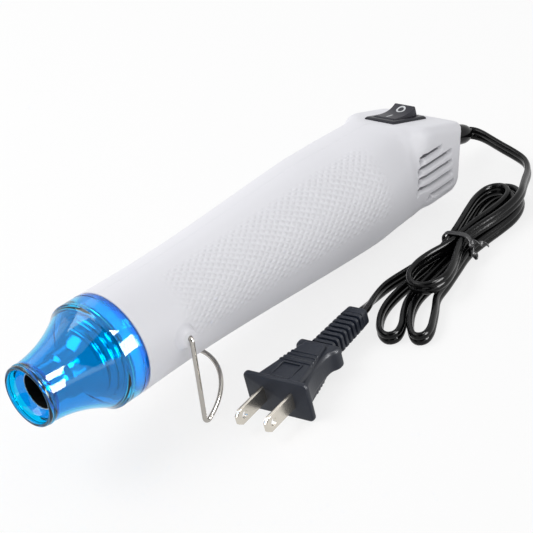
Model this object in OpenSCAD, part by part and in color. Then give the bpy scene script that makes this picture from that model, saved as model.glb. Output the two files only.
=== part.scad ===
// Embossing heat tool: a slim hot-air tool with a clear blue nozzle guard, a wire stand and a mains lead.
// The tool is drawn along X from the nozzle mouth to the tail, then tipped to rest on its stand and belly.

/* [Nozzle guard] */
// Outer radius of the guard at the mouth
mouth_r = 11.8; // [10.5:0.1:13]
// Distance from the mouth to the shoulder
shoulder_x = 29.5; // [26:0.5:32]
// Outer radius of the band behind the shoulder
band_r = 20.8; // [20.3:0.1:21.2]
// Length of the band behind the shoulder
band_len = 9.5; // [8.5:0.5:11]
// Wall of the guard
guard_wall = 1.4; // [1.2:0.1:1.6]
// How quickly the bell flares: higher keeps it slim for longer
flare_power = 2.1; // [1.7:0.1:2.6]
// Depth of the web behind the mouth
web_depth = 5.3; // [4:0.1:7]
// Thickness of the web
web_t = 1.2; // [1:0.1:1.6]

/* [Metal nozzle] */
// Radius of the air outlet
outlet_r = 7; // [6:0.1:7.4]
// Sheet thickness of the metal nozzle
nozzle_wall = 0.5; // [0.4:0.1:0.6]
// Outer radius of the barrel that holds the heater
barrel_r = 15.9; // [15.2:0.1:16]
// Rear end of the barrel
barrel_end_x = 46; // [44:1:50]
// Radius of the flange that stops against the housing
flange_r = 18.6; // [18:0.1:18.8]

/* [Housing] */
// Wall of the housing shells
shell_wall = 2; // [1.8:0.1:2.3]
// Radius at the slimmest place
waist_r = 20.5; // [20.3:0.1:21]
// Place of the slimmest section
waist_x = 62; // [58:1:68]
// Radius at the fullest place of the grip
grip_r = 24.6; // [24:0.1:25.5]
// Place where the grip reaches its full radius
grip_x = 182; // [172:1:186]
// Place where the grip starts to step in to the tail
step_x = 191; // [188:1:193]
// Length of that step
step_len = 15; // [12:1:18]
// Radius that the step runs down to, inside the tail
neck_r = 17; // [16:0.1:17.4]

/* [Tail] */
// Width of the tail over its flat sides
tail_w = 43; // [42:0.5:44]
// Depth of the tail below the tool's axis
tail_drop = 17.6; // [17.5:0.1:18.5]
// Slope of the top face, down to the rear
tail_slope = 16.3; // [14:0.1:18]
// Place of the switch along the tool
switch_x = 207.2; // [206:0.1:209]
// Height of the sloping face at the switch
switch_z = 16.7; // [16.4:0.1:17.4]
// Distance along the slope from the switch to the rear face
tail_back = 16.5; // [16:0.1:18]
// Radius of the tail's long edges
tail_edge_r = 8; // [6:0.5:9]
// Radius of the tail's rear edges
tail_rear_r = 4; // [3:0.5:5]

/* [Vents] */
// Slots on each side
vent_count = 5; // [3:1:5]
// Distance between slots
vent_pitch = 4.35; // [4.2:0.05:4.6]
// Width of a slot
vent_w = 1.8; // [1.4:0.1:2.2]
// Height of the top slot
vent_top_z = 8.5; // [8:0.1:9]
// Front end of the longest slot
vent_x0 = 190.5; // [189:0.5:193]
// Rear end of the slots
vent_x1 = 214; // [212:0.5:215]

/* [Stand] */
// Radius of the stand's wire
wire_r = 0.9; // [0.8:0.05:1]
// Place of the stand's hinge along the tool
hinge_x = 56.8; // [55:0.2:60]
// Height of the hinge on the tool's axis
hinge_z = -0.8; // [-1.5:0.1:0]
// Half of the span between the legs
leg_y = 24; // [23.8:0.1:25]
// Length of a leg from hinge to bend
leg_len = 34; // [33:0.5:36]
// Lean of the legs towards the nozzle when the stand is down
leg_lean = 3; // [0:0.5:5]
// Angle by which the bow is bent up behind the legs
bow_rise = 30; // [24:1:32]
// How far the dome round each hinge hole stands out
dome_out = 2.2; // [2:0.1:2.4]
// Radius of the dome
dome_r = 4.3; // [4:0.1:5]
// Play between the wire and its hole
hinge_gap = 0.06; // [0.04:0.01:0.1]
// Centreline radius of the wire's bends
bend_r = 1.5; // [1.2:0.1:1.6]

/* [Heater] */
// Inner radius of the mica sleeve
sleeve_r = 14.9; // [14.4:0.1:14.9]
// Thickness of the mica sleeve
sleeve_t = 0.4; // [0.3:0.05:0.4]
// Front end of the sleeve
sleeve_x0 = 33; // [32:0.5:35]
// Rear end of the sleeve
sleeve_x1 = 78; // [76:0.5:78]
// Thickness of the crossed mica plates
cross_t = 0.8; // [0.6:0.1:1]
// Radius of the heating coil
coil_r = 12; // [11:0.1:12.6]
// Radius of the heating wire
coil_wire_r = 0.35; // [0.3:0.05:0.45]
// Turns of the heating coil
coil_turns = 7; // [5:1:7]
// Pitch of the heating coil
coil_pitch = 4; // [3.6:0.1:4.2]
// Thickness of the mica disc behind the heater
disc_t = 1.2; // [1:0.1:1.4]
// Radius of the thermal fuse
fuse_r = 1.8; // [1.5:0.1:2]
// Length of the thermal fuse
fuse_len = 9; // [8:0.5:11]

/* [Fan and motor] */
// Front end of the fan shroud
shroud_x0 = 87; // [86.5:0.5:88]
// Length of the fan shroud
shroud_len = 25; // [24:0.5:26]
// Outer radius of the fan shroud
shroud_r = 17.4; // [17:0.1:17.6]
// Wall of the fan shroud
shroud_wall = 0.8; // [0.7:0.1:1]
// Blades of the fan
blade_count = 7; // [5:1:9]
// Pitch angle of the blades
blade_pitch = 35; // [25:1:45]
// Gap between blade tips and shroud
tip_gap = 0.6; // [0.4:0.1:1]
// Radius of the fan hub
hub_r = 7; // [6:0.1:8]
// Length of the fan hub
hub_len = 10; // [9:0.5:11]
// Outer radius of the motor
motor_r = 12.2; // [11.9:0.1:12.4]
// Length of the motor can
motor_len = 31; // [30:0.5:32]
// Wall of the motor can
can_wall = 1; // [0.8:0.1:1.2]
// Radius of the motor shaft
shaft_r = 1; // [0.9:0.05:1.2]
// Running play of the shaft in its bushes
shaft_gap = 0.04; // [0.02:0.01:0.08]
// Radius of the armature
armature_r = 9.2; // [8.8:0.1:9.3]
// Thickness of the magnets
magnet_t = 1.5; // [1.2:0.1:1.6]

/* [Switch] */
// Length of the switch bezel
bezel_l = 21.5; // [21:0.1:22]
// Width of the switch bezel
bezel_w = 15.4; // [15:0.1:16]
// Height of the bezel above the face
bezel_t = 1.5; // [1.2:0.1:1.8]
// Length of the switch body below the bezel
switch_l = 19; // [18.6:0.1:19.2]
// Width of the switch body
switch_w = 13; // [12.6:0.1:13.2]
// Depth of the switch body below the face
switch_d = 11; // [10.5:0.1:11.5]
// Length of the rocker
rocker_l = 15.4; // [14.8:0.1:15.8]
// Width of the rocker
rocker_w = 9.4; // [9:0.1:9.8]
// Tilt of the rocker to either side
rocker_tilt = 12; // [10:0.5:13]
// Height of the rocker's ends above the bezel when level
rocker_h = 2.4; // [2:0.1:2.8]

/* [Lead] */
// Length of the strain relief behind the tail
boot_len = 34; // [30:1:36]
// Radius of the strain relief at the tail
boot_r0 = 5.2; // [4.8:0.1:5.6]
// Radius of the strain relief near its end
boot_r1 = 4; // [3.7:0.1:4.4]
// Distance of the strain relief below the sloping face
boot_drop = 12; // [11.6:0.1:13]
// Width of the flat twin lead
cord_w = 5.4; // [5:0.1:5.8]
// Thickness of the flat twin lead
cord_t = 2.8; // [2.6:0.1:3]
// Length of the hank
hank_len = 82; // [78:1:86]
// Width of the hank
hank_w = 30; // [28:1:32]
// Height of the hank
hank_h = 14; // [12:0.5:15]

/* [Plug] */
// Width of the plug's face
plug_face_w = 28; // [26:0.5:29]
// Thickness of the plug
plug_t = 16; // [15:0.5:17]
// Distance from the face to the finger stops
plug_len = 29; // [28:0.5:31]
// Width over the finger stops
plug_stop_w = 18.5; // [17.5:0.5:20]
// Length of the ribbed relief
rib_len = 25; // [23:0.5:27]
// Ribs on the relief
rib_count = 9; // [7:1:10]
// Distance between the blades
blade_gap = 12.7; // [12.6:0.1:12.8]
// Length of the blades
blade_len = 16.5; // [15.9:0.1:18]
// Width of the blades
blade_w = 6.3; // [6:0.1:6.5]
// Thickness of the blades
blade_t = 1.5; // [1.4:0.1:1.6]

/* [Hidden] */
fine = 96;
far = 150;
fit_gap = 0.05;
free_gap = 0.3;
eps = 0.01;

band_x = shoulder_x;
band_end = band_x + band_len;
spigot_x = band_x + 3;
spigot_r = band_r - guard_wall - 0.1;
flange_t = 0.8;
spout_steps = [[nozzle_wall, 16.5], [1.8, 14.5], [2, 9.5]];
bead_steps = [[3.3, 5.2], [2.3, 4.7], [2.3, 3.7], [2.9, 3.2], [1.3, 2.3], [0.6, 1.8], [0.6, 0.8],
              [1.1, 0.2], [0, -0.9]];
web_x = web_depth + web_t;

fan_room = 21;
motor_x0 = shroud_x0 + fan_room;
motor_x1 = motor_x0 + motor_len;
cap_len = 5;
stack_x0 = motor_x0 + 6;
stack_x1 = motor_x1 - 9;
hub_x0 = shroud_x0 + 5;
shaft_x0 = hub_x0 - 1;
shaft_x1 = motor_x1 + cap_len + 1;
board_x = shaft_x1 + 1.5;
board_t = 1.6;
board_r = 12;
bush_r = 3;
bush_len = 3;

lead_angles = [45, 135];
lead_wire_r = 0.55;
lead_ring_r = shroud_r + lead_wire_r + 0.1;

air_gap_w = 5;
dome_edge = 1.5;
vent_starts = [3.5, 2, 1, 0, 6.5];
vent_ends = [5, 0, 0, 1, 0];

rib_t = 2;
boot_in = tail_back - shell_wall - 1.6;
tab_x = 4;
tab_len = 7;
lead_d = 1.6;
screw_r = 1.25;
screw_head_r = 2.6;
screw_boss_r = 3.4;
screw_reach = 7;
screw_spots = [[83, -11], [160, -15], [160, 13], [197, -17.5]];

straight_leg = leg_len - bend_r;
foot_r = bend_r + wire_r;
foot_x = hinge_x + bend_r * cos(leg_lean) - straight_leg * sin(leg_lean);
foot_z = hinge_z - bend_r * sin(leg_lean) - straight_leg * cos(leg_lean);
tilt_run = step_x - foot_x;
tilt_drop = foot_z + grip_r;
rest_tilt = asin(foot_r / norm([tilt_run, tilt_drop])) - atan2(tilt_drop, tilt_run);
floor_z = -step_x * sin(rest_tilt) - grip_r * cos(rest_tilt);
mouth_edge = 0.4;
rear_u = tail_back - tail_rear_r;
rear_x = switch_x + rear_u * cos(tail_slope) - tail_rear_r * sin(tail_slope);
rear_z = switch_z - rear_u * sin(tail_slope) - tail_rear_r * cos(tail_slope);
front_x = -(mouth_r - mouth_edge) * sin(rest_tilt);
back_x = rear_x * cos(rest_tilt) + rear_z * sin(rest_tilt) + tail_rear_r;
centre_x = (front_x + back_x) / 2;

plug_at = [-42, -47, 0];
plug_turn = 6;
hank_at = [78, -46, 0];
hank_turn = 8;
lead_route = [[138.5, 0, 11.2], [143, -2, 9], [147, -7, 5.5], [149, -14, 2.5], [149, -21, 1.4],
              [145, -28, 1.4], [138, -34, 1.4], [130, -38, 1.6], [124, -40.5, 3], [118.4, -42, 5]];
plug_route = [[10, -41.5, 8], [17, -40.4, 6.8], [23, -38, 4], [29, -35.6, 2], [36, -34.6, 2.4],
              [43.4, -37.6, 6]];
left_loop = [[38.2, -44.4, 8.2], [32, -41.5, 4.5], [24, -42, 2.8], [15, -46.5, 2.75], [9, -53, 2.75],
             [9.5, -58, 2.75], [16, -57.5, 2.75], [24, -53.5, 2.75], [31, -50, 2.75], [37.6, -48.4, 2.75]];
right_loop = [[37.8, -52.4, 2.75], [30, -53.5, 2.75], [22, -58, 2.75], [14.5, -65, 2.75],
              [12.5, -70.5, 2.75], [17, -72, 2.75], [26, -66.5, 2.75], [33, -61, 2.75], [39.6, -58, 2.75]];

// Smooth step from 0 to 1
function ease(t) = t <= 0 ? 0 : t >= 1 ? 1 : t * t * (3 - 2 * t);

// Outer radius of the guard's bell
function bell_r(x) = mouth_r + (band_r - 0.2 - mouth_r) * pow(x / shoulder_x, flare_power);

// Outer radius of the housing along the tool
function grip_out(x) = x < waist_x
    ? waist_r + (band_r - waist_r) * pow((waist_x - x) / (waist_x - band_end), 2)
    : x < step_x ? waist_r + (grip_r - waist_r) * ease((x - waist_x) / (grip_x - waist_x))
    : grip_r - (grip_r - neck_r) * ease((x - step_x) / step_len);

// Evenly spaced values from a to b
function steps(a, b, n) = [for (i = [0:n]) a + (b - a) * i / n];

// Profile points of a smooth radius between two places
function grip_line(a, b, n, d) = [for (x = steps(a, b, n)) [grip_out(x) - d, x]];

// A point given along, across and out of the sloping face, in the tool's frame
function slope_point(u, y, w) = [switch_x + u * cos(tail_slope) + w * sin(tail_slope), y,
                                 switch_z - u * sin(tail_slope) + w * cos(tail_slope)];

// Points of a smooth curve through the given ones, n to each stretch
function curve_point(a, b, c, d, t) = 0.5 * (2 * b + (c - a) * t + (2 * a - 5 * b + 4 * c - d) * t * t
    + (3 * b - a - 3 * c + d) * t * t * t);
function smooth_route(p, n) = let (last = len(p) - 1) concat(
    [for (i = [0:last - 1], k = [0:n - 1]) curve_point(p[max(i - 1, 0)], p[i], p[i + 1],
        p[min(i + 2, last)], k / n)], [p[last]]);

// Direction of a route at one of its points, and the level direction across it
function along(p, i) = let (d = p[min(i + 1, len(p) - 1)] - p[max(i - 1, 0)]) d / norm(d);
function across(p, i) = let (d = along(p, i), c = [-d.y, d.x, 0]) c / norm(c);

// One polyhedron swept along a route, w wide and t thick: its wide way is level, or follows the given list
module swept(p, w, t, sides, wide = []) {
    rings = [for (i = [0:len(p) - 1])
        let (d = along(p, i), s = len(wide) > 0 ? wide[i] : across(p, i), u = cross(d, s))
        [for (k = [0:sides - 1]) p[i] + s * cos(360 * (k + 0.5) / sides) * w / 2
            + u * sin(360 * (k + 0.5) / sides) * t / 2]];
    points = [for (r = rings, v = r) v];
    last = (len(p) - 1) * sides;
    polyhedron(points, concat(
        [[for (k = [0:sides - 1]) sides - 1 - k]],
        [[for (k = [0:sides - 1]) last + k]],
        [for (i = [0:len(p) - 2], k = [0:sides - 1]) let (a = i * sides, n = (k + 1) % sides)
            [a + k, a + n, a + n + sides, a + k + sides]]), convexity = 10);
}

module resting() {
    translate([-centre_x, 0, -floor_z]) rotate([0, rest_tilt, 0]) children();
}

module turned(profile) {
    rotate([0, 90, 0]) rotate_extrude($fn = fine) polygon(profile);
}

module tube_x(x0, x1, r) {
    translate([x0, 0, 0]) rotate([0, 90, 0]) cylinder(h = x1 - x0, r = r, $fn = fine);
}

module ring_x(x0, x1, outer, inner) {
    difference() {
        tube_x(x0, x1, outer);
        tube_x(x0 - 1, x1 + 1, inner);
    }
}

module pin_y(x, z, y0, y1, r) {
    translate([x, y1, z]) rotate([90, 0, 0]) cylinder(h = y1 - y0, r = r, $fn = 48);
}

module on_slope() {
    translate([switch_x, 0, switch_z]) rotate([0, tail_slope, 0]) children();
}

// Rectangle with round corners, centred, made of squares and circles
module soft_square(w, h, r) {
    square([w - 2 * r, h], center = true);
    square([w, h - 2 * r], center = true);
    for (x = [-1, 1], y = [-1, 1]) {
        translate([x * (w / 2 - r), y * (h / 2 - r)]) circle(r = r, $fn = 64);
    }
}

// The housing as one solid, drawn in by d on every side
module grip_solid(d) {
    difference() {
        turned(concat([[0, spigot_x - 1]], [[band_r - d, spigot_x - 1]], grip_line(band_end, waist_x, 3, d),
            grip_line(waist_x + 1, step_x, 12, d), grip_line(step_x + 1, step_x + step_len, 6, d),
            [[0, step_x + step_len]]));
        on_slope() translate([-far, -far / 2, -d]) cube([2 * far, far, far]);
    }
}

module tail_solid(d) {
    deep = 70;
    run = 40;
    w = tail_w - 2 * d;
    r = tail_edge_r - d;
    rear = tail_rear_r;
    intersection() {
        on_slope() translate([tail_back - d - run, 0, -d - deep / 2]) rotate([90, 0, 90])
            linear_extrude(run) soft_square(w, deep, r);
        on_slope() translate([tail_back - d - run / 2, 0, -d - deep / 2])
            linear_extrude(deep, center = true) soft_square(run, w, rear);
        on_slope() translate([tail_back - d - run / 2, 0, -d - deep / 2]) rotate([90, 0, 0])
            linear_extrude(w, center = true) soft_square(run, deep, rear);
        translate([step_x - 4, 0, deep / 2 - tail_drop + d]) rotate([90, 0, 90])
            linear_extrude(run) soft_square(w, deep, r);
    }
}

module hinge_dome() {
    for (side = [-1, 1]) {
        translate([hinge_x, side * (waist_r - dome_edge), hinge_z]) rotate([-90 * side, 0, 0])
            rotate_extrude($fn = 48) polygon(concat([[0, 0], [dome_r, 0]], [for (a = [0:15:75])
                [dome_r - dome_edge + dome_edge * cos(a), dome_out + dome_edge * sin(a)]],
                [[0, dome_out + dome_edge]]));
    }
}

module housing_outer() {
    grip_solid(0);
    tail_solid(0);
    hinge_dome();
}

module housing_inner() {
    grip_solid(shell_wall);
    tail_solid(shell_wall);
}

// Ring rib that reaches into the shell's wall, whatever the grip's radius
module rib(x, t, bore_r) {
    ring_x(x, x + t, max(grip_r, band_r) + 1, bore_r + fit_gap);
}

// Ring ribs that hold the inner pieces
module inner_ribs() {
    rib(spigot_x, rib_t, barrel_r);
    rib(barrel_end_x - 2 * rib_t, rib_t, barrel_r);
    rib(sleeve_x1 - 1.5 * rib_t, 1.5 * rib_t, sleeve_r + sleeve_t);
    rib(sleeve_x1 + disc_t + 0.1, 0.8 * rib_t, sleeve_r - 1.5);
    rib(shroud_x0 + rib_t, rib_t, shroud_r);
    rib(shroud_x0 + shroud_len - 1.5 * rib_t, rib_t, shroud_r);
    rib(motor_x1 - 9, rib_t, motor_r);
    rib(motor_x1 - 3, rib_t, motor_r);
}

module rib_lead_gaps() {
    for (a = lead_angles) {
        rotate([a, 0, 0]) translate([sleeve_x1 + 3, lead_ring_r - 0.8, -1.2])
            cube([motor_x1 + 1 - sleeve_x1, 1.6, 2.4]);
    }
    for (a = [0:60:300]) {
        rotate([a, 0, 0]) translate([motor_x1 - 10, motor_r + 1.5, -air_gap_w / 2])
            cube([12, 4, air_gap_w]);
    }
}

module screw_posts() {
    for (s = screw_spots) {
        pin_y(s.x, s.y, -grip_r, grip_r, screw_boss_r);
    }
}

module screw_cuts() {
    for (s = screw_spots) {
        pin_y(s.x, s.y, -screw_reach, screw_reach, screw_r);
        pin_y(s.x, s.y, screw_reach - 2, grip_r + 10, screw_head_r + 0.2);
    }
}

module vent_cuts() {
    for (i = [0:vent_count - 1]) {
        front = vent_x0 + vent_starts[i];
        rear = vent_x1 - vent_ends[i];
        translate([front, -tail_w, vent_top_z - i * vent_pitch - vent_w / 2])
            cube([rear - front, 2 * tail_w, vent_w]);
    }
}

module housing() {
    difference() {
        union() {
            difference() {
                housing_outer();
                housing_inner();
            }
            intersection() {
                difference() {
                    inner_ribs();
                    rib_lead_gaps();
                }
                grip_solid(0.5);
            }
            intersection() {
                screw_posts();
                grip_solid(0.5);
            }
        }
        tube_x(spigot_x - 5, spigot_x, band_r + 5);
        ring_x(spigot_x - 5, band_end, band_r + 5, spigot_r);
        tube_x(spigot_x - 5, spigot_x + 2, barrel_r + fit_gap);
        screw_cuts();
        vent_cuts();
        pin_y(hinge_x, hinge_z, -waist_r - 8, waist_r + 8, wire_r + hinge_gap);
        on_slope() translate([-switch_l / 2 - fit_gap, -switch_w / 2 - fit_gap, -switch_d])
            cube([switch_l + 2 * fit_gap, switch_w + 2 * fit_gap, switch_d + 5]);
        on_slope() translate([tail_back - shell_wall - 2, 0, -boot_drop]) rotate([0, 90, 0])
            cylinder(h = 8, r = boot_r1, $fn = 48);
    }
}

module half(side) {
    intersection() {
        housing();
        translate([0, side < 0 ? -far : 0, -far]) cube([2 * far, far, 2 * far]);
    }
}

module left_housing() { color("lavender") resting() half(-1); }

module right_housing() { color("lavender") resting() half(1); }

module housing_screws() {
    color("silver") resting() for (s = screw_spots) {
        difference() {
            union() {
                pin_y(s.x, s.y, -screw_reach + 1, screw_reach - 2, screw_r);
                pin_y(s.x, s.y, screw_reach - 2, screw_reach, screw_head_r);
            }
            for (a = [0, 90]) {
                translate([s.x, screw_reach - 0.5, s.y]) rotate([0, a, 0]) cube([3, 2, 0.7], center = true);
            }
        }
    }
}

module nozzle_guard() {
    lip = 0.7;
    bore_r = mouth_r - guard_wall;
    seat_x = spigot_x - flange_t - 0.1;
    color([0, 0.6, 0.95, 0.5]) resting() difference() {
        turned(concat([[0, lip], [mouth_r - 1.1, 0], [mouth_r - mouth_edge, 0], [mouth_r, mouth_edge]],
            [for (x = steps(2, shoulder_x, 12)) [bell_r(x), x]],
            [[band_r, band_x + 0.6], [band_r, band_end - 0.2], [0, band_end - 0.2]]));
        turned([[0, -1], [bore_r, -1], [bore_r, web_depth], [0, web_depth]]);
        turned(concat([[0, web_x]], [for (x = steps(web_x, shoulder_x, 10)) [bell_r(x) - guard_wall, x]],
            [[flange_r + 0.2, shoulder_x + 0.4], [flange_r + 0.2, seat_x],
             [spigot_r + 0.1, seat_x], [spigot_r + 0.1, band_end + 1], [0, band_end + 1]]));
        tube_x(0, web_x + 1, outlet_r + nozzle_wall + fit_gap);
    }
}

// Outer profile of the metal nozzle, drawn in by d: spout, cone and two beads, stepped back from the shoulder
function nozzle_line(d) = concat([[outlet_r + nozzle_wall - d, web_depth - 0.1 - d]],
    [for (p = spout_steps) [outlet_r + p[0] - d, shoulder_x - p[1]]],
    [for (p = bead_steps) [barrel_r - p[0] - d, shoulder_x - p[1]]],
    [[barrel_r - d, barrel_end_x + d]]);

module nozzle_tube() {
    color("silver") resting() difference() {
        union() {
            turned(concat([[0, web_depth - 0.1]], nozzle_line(0), [[0, barrel_end_x]]));
            tube_x(spigot_x - flange_t, spigot_x, flange_r);
        }
        turned(concat([[0, web_depth - 1]], nozzle_line(nozzle_wall), [[0, barrel_end_x + 1]]));
    }
}

module mica_sleeve() {
    color("burlywood") resting() ring_x(sleeve_x0, sleeve_x1, sleeve_r + sleeve_t, sleeve_r);
}

coil_x0 = (sleeve_x0 + sleeve_x1 - coil_turns * coil_pitch) / 2;

module mica_cross() {
    reach = sleeve_r - 0.1;
    notch = coil_r - coil_wire_r - 0.3;
    color("burlywood") resting() difference() {
        union() {
            for (a = [0, 90]) {
                rotate([a, 0, 0]) translate([sleeve_x0 + 3, -reach, -cross_t / 2])
                    cube([sleeve_x1 - sleeve_x0 - 3, 2 * reach, cross_t]);
            }
        }
        for (k = [0:coil_turns * 4]) {
            rotate([90 * k, 0, 0]) translate([coil_x0 + k * coil_pitch / 4 - 0.8, notch, -1])
                cube([1.6, sleeve_r, 2]);
        }
    }
}

module heating_coil() {
    turn_steps = 16;
    total = coil_turns * turn_steps;
    route = [for (i = [0:total]) let (a = 360 * i / turn_steps)
        [coil_x0 + coil_pitch * i / turn_steps, coil_r * cos(a), coil_r * sin(a)]];
    outward = [for (p = route) [0, p.y, p.z] / coil_r];
    color("darkgray") resting() swept(route, 2 * coil_wire_r, 2 * coil_wire_r, 6, outward);
}

module mica_disc() {
    color("burlywood") resting() difference() {
        tube_x(sleeve_x1, sleeve_x1 + disc_t, sleeve_r + sleeve_t);
        for (a = [45:90:315]) {
            rotate([a, 0, 0]) translate([0, sleeve_r * 0.5, 0])
                tube_x(sleeve_x1 - 1, sleeve_x1 + disc_t + 1, 4.2);
        }
    }
}

module thermal_fuse() {
    x0 = coil_x0 + 8;
    color("silver") resting() translate([0, cross_t / 2 + fuse_r, 5]) {
        tube_x(x0, x0 + fuse_len, fuse_r);
        tube_x(x0 - 5, x0 + fuse_len + 7, 0.4);
    }
}

module fan_shroud() {
    x1 = shroud_x0 + shroud_len;
    color("dimgray") resting() difference() {
        union() {
            ring_x(shroud_x0, x1, shroud_r, shroud_r - shroud_wall);
            ring_x(motor_x0 - 1.5, x1, motor_r + 1.2, motor_r + fit_gap);
            difference() {
                tube_x(motor_x0 - 1.5, motor_x0, motor_r + 1.2);
                tube_x(motor_x0 - 2, motor_x0 + 1, bush_r + 1.5);
            }
            for (a = [0:60:300]) {
                rotate([a, 0, 0]) translate([motor_x0 - 1.5, motor_r + 0.6, -0.6])
                    cube([x1 - motor_x0 + 1.5, shroud_r - motor_r - 1, 1.2]);
            }
        }
        tube_x(motor_x0, x1 + 1, motor_r + fit_gap);
    }
}

module fan_impeller() {
    tip_r = shroud_r - shroud_wall - tip_gap;
    mid = hub_x0 + hub_len / 2;
    color("white") resting() difference() {
        union() {
            turned([[0, hub_x0], [hub_r - 1.5, hub_x0], [hub_r, hub_x0 + 1.5], [hub_r, hub_x0 + hub_len],
                [0, hub_x0 + hub_len]]);
            intersection() {
                tube_x(hub_x0, hub_x0 + hub_len, tip_r);
                for (a = [0:360 / blade_count:359]) {
                    rotate([a, 0, 0]) translate([mid, hub_r - 1, 0]) rotate([0, blade_pitch, 0])
                        translate([-7, 0, -0.6]) cube([14, tip_r, 1.2]);
                }
            }
        }
        tube_x(hub_x0 - 1, hub_x0 + hub_len + 1, shaft_r);
    }
}

module motor_can() {
    color("silver") resting() difference() {
        tube_x(motor_x0, motor_x1, motor_r);
        tube_x(motor_x0 + can_wall, motor_x1 + 1, motor_r - can_wall);
        tube_x(motor_x0 - 1, motor_x0 + 5, bush_r);
    }
}

module motor_magnets() {
    outer = motor_r - can_wall - 0.02;
    front_gap = 4;
    rear_gap = 7;
    split = 8;
    color("gray") resting() difference() {
        ring_x(motor_x0 + front_gap, motor_x1 - rear_gap, outer, outer - magnet_t);
        translate([motor_x0, -outer - 1, -split / 2]) cube([motor_len, 2 * outer + 2, split]);
    }
}

module motor_armature() {
    slot_w = 1.6;
    slot_r = 2.4;
    color("sienna") resting() difference() {
        tube_x(stack_x0, stack_x1, armature_r);
        for (a = [30:120:270]) {
            rotate([a, 0, 0]) translate([stack_x0 - 1, armature_r - slot_r, -slot_w / 2])
                cube([stack_x1 - stack_x0 + 2, 2 * slot_r, slot_w]);
            rotate([a, 0, 0]) translate([0, armature_r - 3.8, 0])
                tube_x(stack_x0 - 1, stack_x1 + 1, slot_r);
        }
        tube_x(stack_x0 - 1, stack_x1 + 1, shaft_r);
    }
}

module motor_commutator() {
    x0 = stack_x1 + 1;
    length = motor_x1 - 2 - x0;
    color("peru") resting() difference() {
        ring_x(x0, x0 + length, 2.6, shaft_r);
        for (a = [0:120:240]) {
            rotate([a, 0, 0]) translate([x0 - 1, 2, -0.2]) cube([length + 2, 2, 0.4]);
        }
    }
}

module motor_shaft() { color("silver") resting() tube_x(shaft_x0, shaft_x1, shaft_r); }

module motor_bushes() {
    color("goldenrod") resting() {
        ring_x(motor_x0 - 1.4, motor_x0 - 1.4 + bush_len, bush_r, shaft_r + shaft_gap);
        ring_x(motor_x1 + cap_len - bush_len, motor_x1 + cap_len, bush_r, shaft_r + shaft_gap);
    }
}

module motor_end_cap() {
    strut_w = 4;
    strut_t = 0.8;
    strut_z = 8;
    color("white") resting() difference() {
        union() {
            tube_x(motor_x1, motor_x1 + 2, motor_r);
            tube_x(motor_x1 + 2, motor_x1 + cap_len, bush_r + 2);
            for (side = [-1, 1]) {
                translate([motor_x1 + 1, -strut_w / 2, side * strut_z - strut_t / 2])
                    cube([board_x - motor_x1 - 1, strut_w, strut_t]);
            }
        }
        tube_x(motor_x1 - 1, motor_x1 + cap_len + 1, bush_r);
    }
}

module rectifier_board() {
    color("seagreen") resting() intersection() {
        tube_x(board_x, board_x + board_t, board_r);
        translate([board_x, -board_r * 0.8, -board_r]) cube([board_t, board_r * 1.6, 2 * board_r]);
    }
}

module rectifier_diodes() {
    x = board_x + board_t;
    body_r = 1.3;
    body_len = 5;
    lead_span = 9.4;
    color("dimgray") resting() for (i = [0:3]) {
        z = -3.6 + i * 3.4;
        pin_y(x + body_r, z, -body_len / 2, body_len / 2, body_r);
        pin_y(x + body_r, z, -lead_span / 2 - 0.5, lead_span / 2 + 0.5, 0.4);
        for (side = [-1, 1]) {
            translate([0, side * lead_span / 2, z]) tube_x(x, x + body_r, 0.3);
        }
    }
}

module smoothing_capacitor() {
    x = board_x + board_t;
    color("darkorange") resting() translate([x, -3, -9.6]) cube([4, 6, 3.4]);
}

module switch_body() {
    chamfer = 0.6;
    color("#33333d") resting() on_slope() difference() {
        union() {
            translate([-bezel_l / 2, -bezel_w / 2, 0]) cube([bezel_l, bezel_w, bezel_t - chamfer]);
            translate([-bezel_l / 2 + chamfer, -bezel_w / 2 + chamfer, 0])
                cube([bezel_l - 2 * chamfer, bezel_w - 2 * chamfer, bezel_t]);
            translate([-switch_l / 2, -switch_w / 2, -switch_d]) cube([switch_l, switch_w, switch_d + eps]);
        }
        translate([-rocker_l / 2 - 0.5, -rocker_w / 2 - free_gap, -switch_d + 3])
            cube([rocker_l + 1, rocker_w + 2 * free_gap, switch_d + 5]);
        pin_y(0, 0, -rocker_w / 2 - 1.2, rocker_w / 2 + 1.2, 1 + 0.05);
    }
}

module switch_rocker() {
    half_l = rocker_l / 2;
    ends = bezel_t + rocker_h;
    color("#3a3a46") resting() on_slope() rotate([0, -rocker_tilt, 0]) {
        rotate([90, 0, 0]) linear_extrude(rocker_w, center = true) polygon([
            [-half_l + 0.6, -2.4], [half_l - 0.6, -2.4], [half_l, 0.4], [half_l - 0.7, ends],
            [half_l - 1.6, ends + 0.1], [0, ends - 1.6],
            [-half_l + 1.6, ends + 0.1], [-half_l + 0.7, ends], [-half_l, 0.4]]);
        pin_y(0, 0, -rocker_w / 2 - 1, rocker_w / 2 + 1, 1);
    }
}

module switch_terminals() {
    tab_t = 0.8;
    tab_w = 4.8;
    color("goldenrod") resting() on_slope() for (x = [-tab_x - 1, tab_x]) {
        difference() {
            translate([x, -tab_w / 2, -switch_d - tab_len]) cube([tab_t, tab_w, tab_len]);
            translate([x - 1, 0, -switch_d - tab_len + 2]) rotate([0, 90, 0])
                cylinder(h = 3, r = 0.8, $fn = 24);
        }
    }
}

module live_lead() {
    tab_w = -switch_d - tab_len;
    color("black") resting() on_slope() swept(smooth_route([[boot_in + 0.4, 2, -boot_drop - 2.1],
        [tab_x + 6, 3.4, tab_w + 1.4], [tab_x + 2.6, 3.2, tab_w + 0.3], [tab_x + 0.4, 1, tab_w + 0.2]], 3),
        lead_d, lead_d, 6);
}

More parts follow.
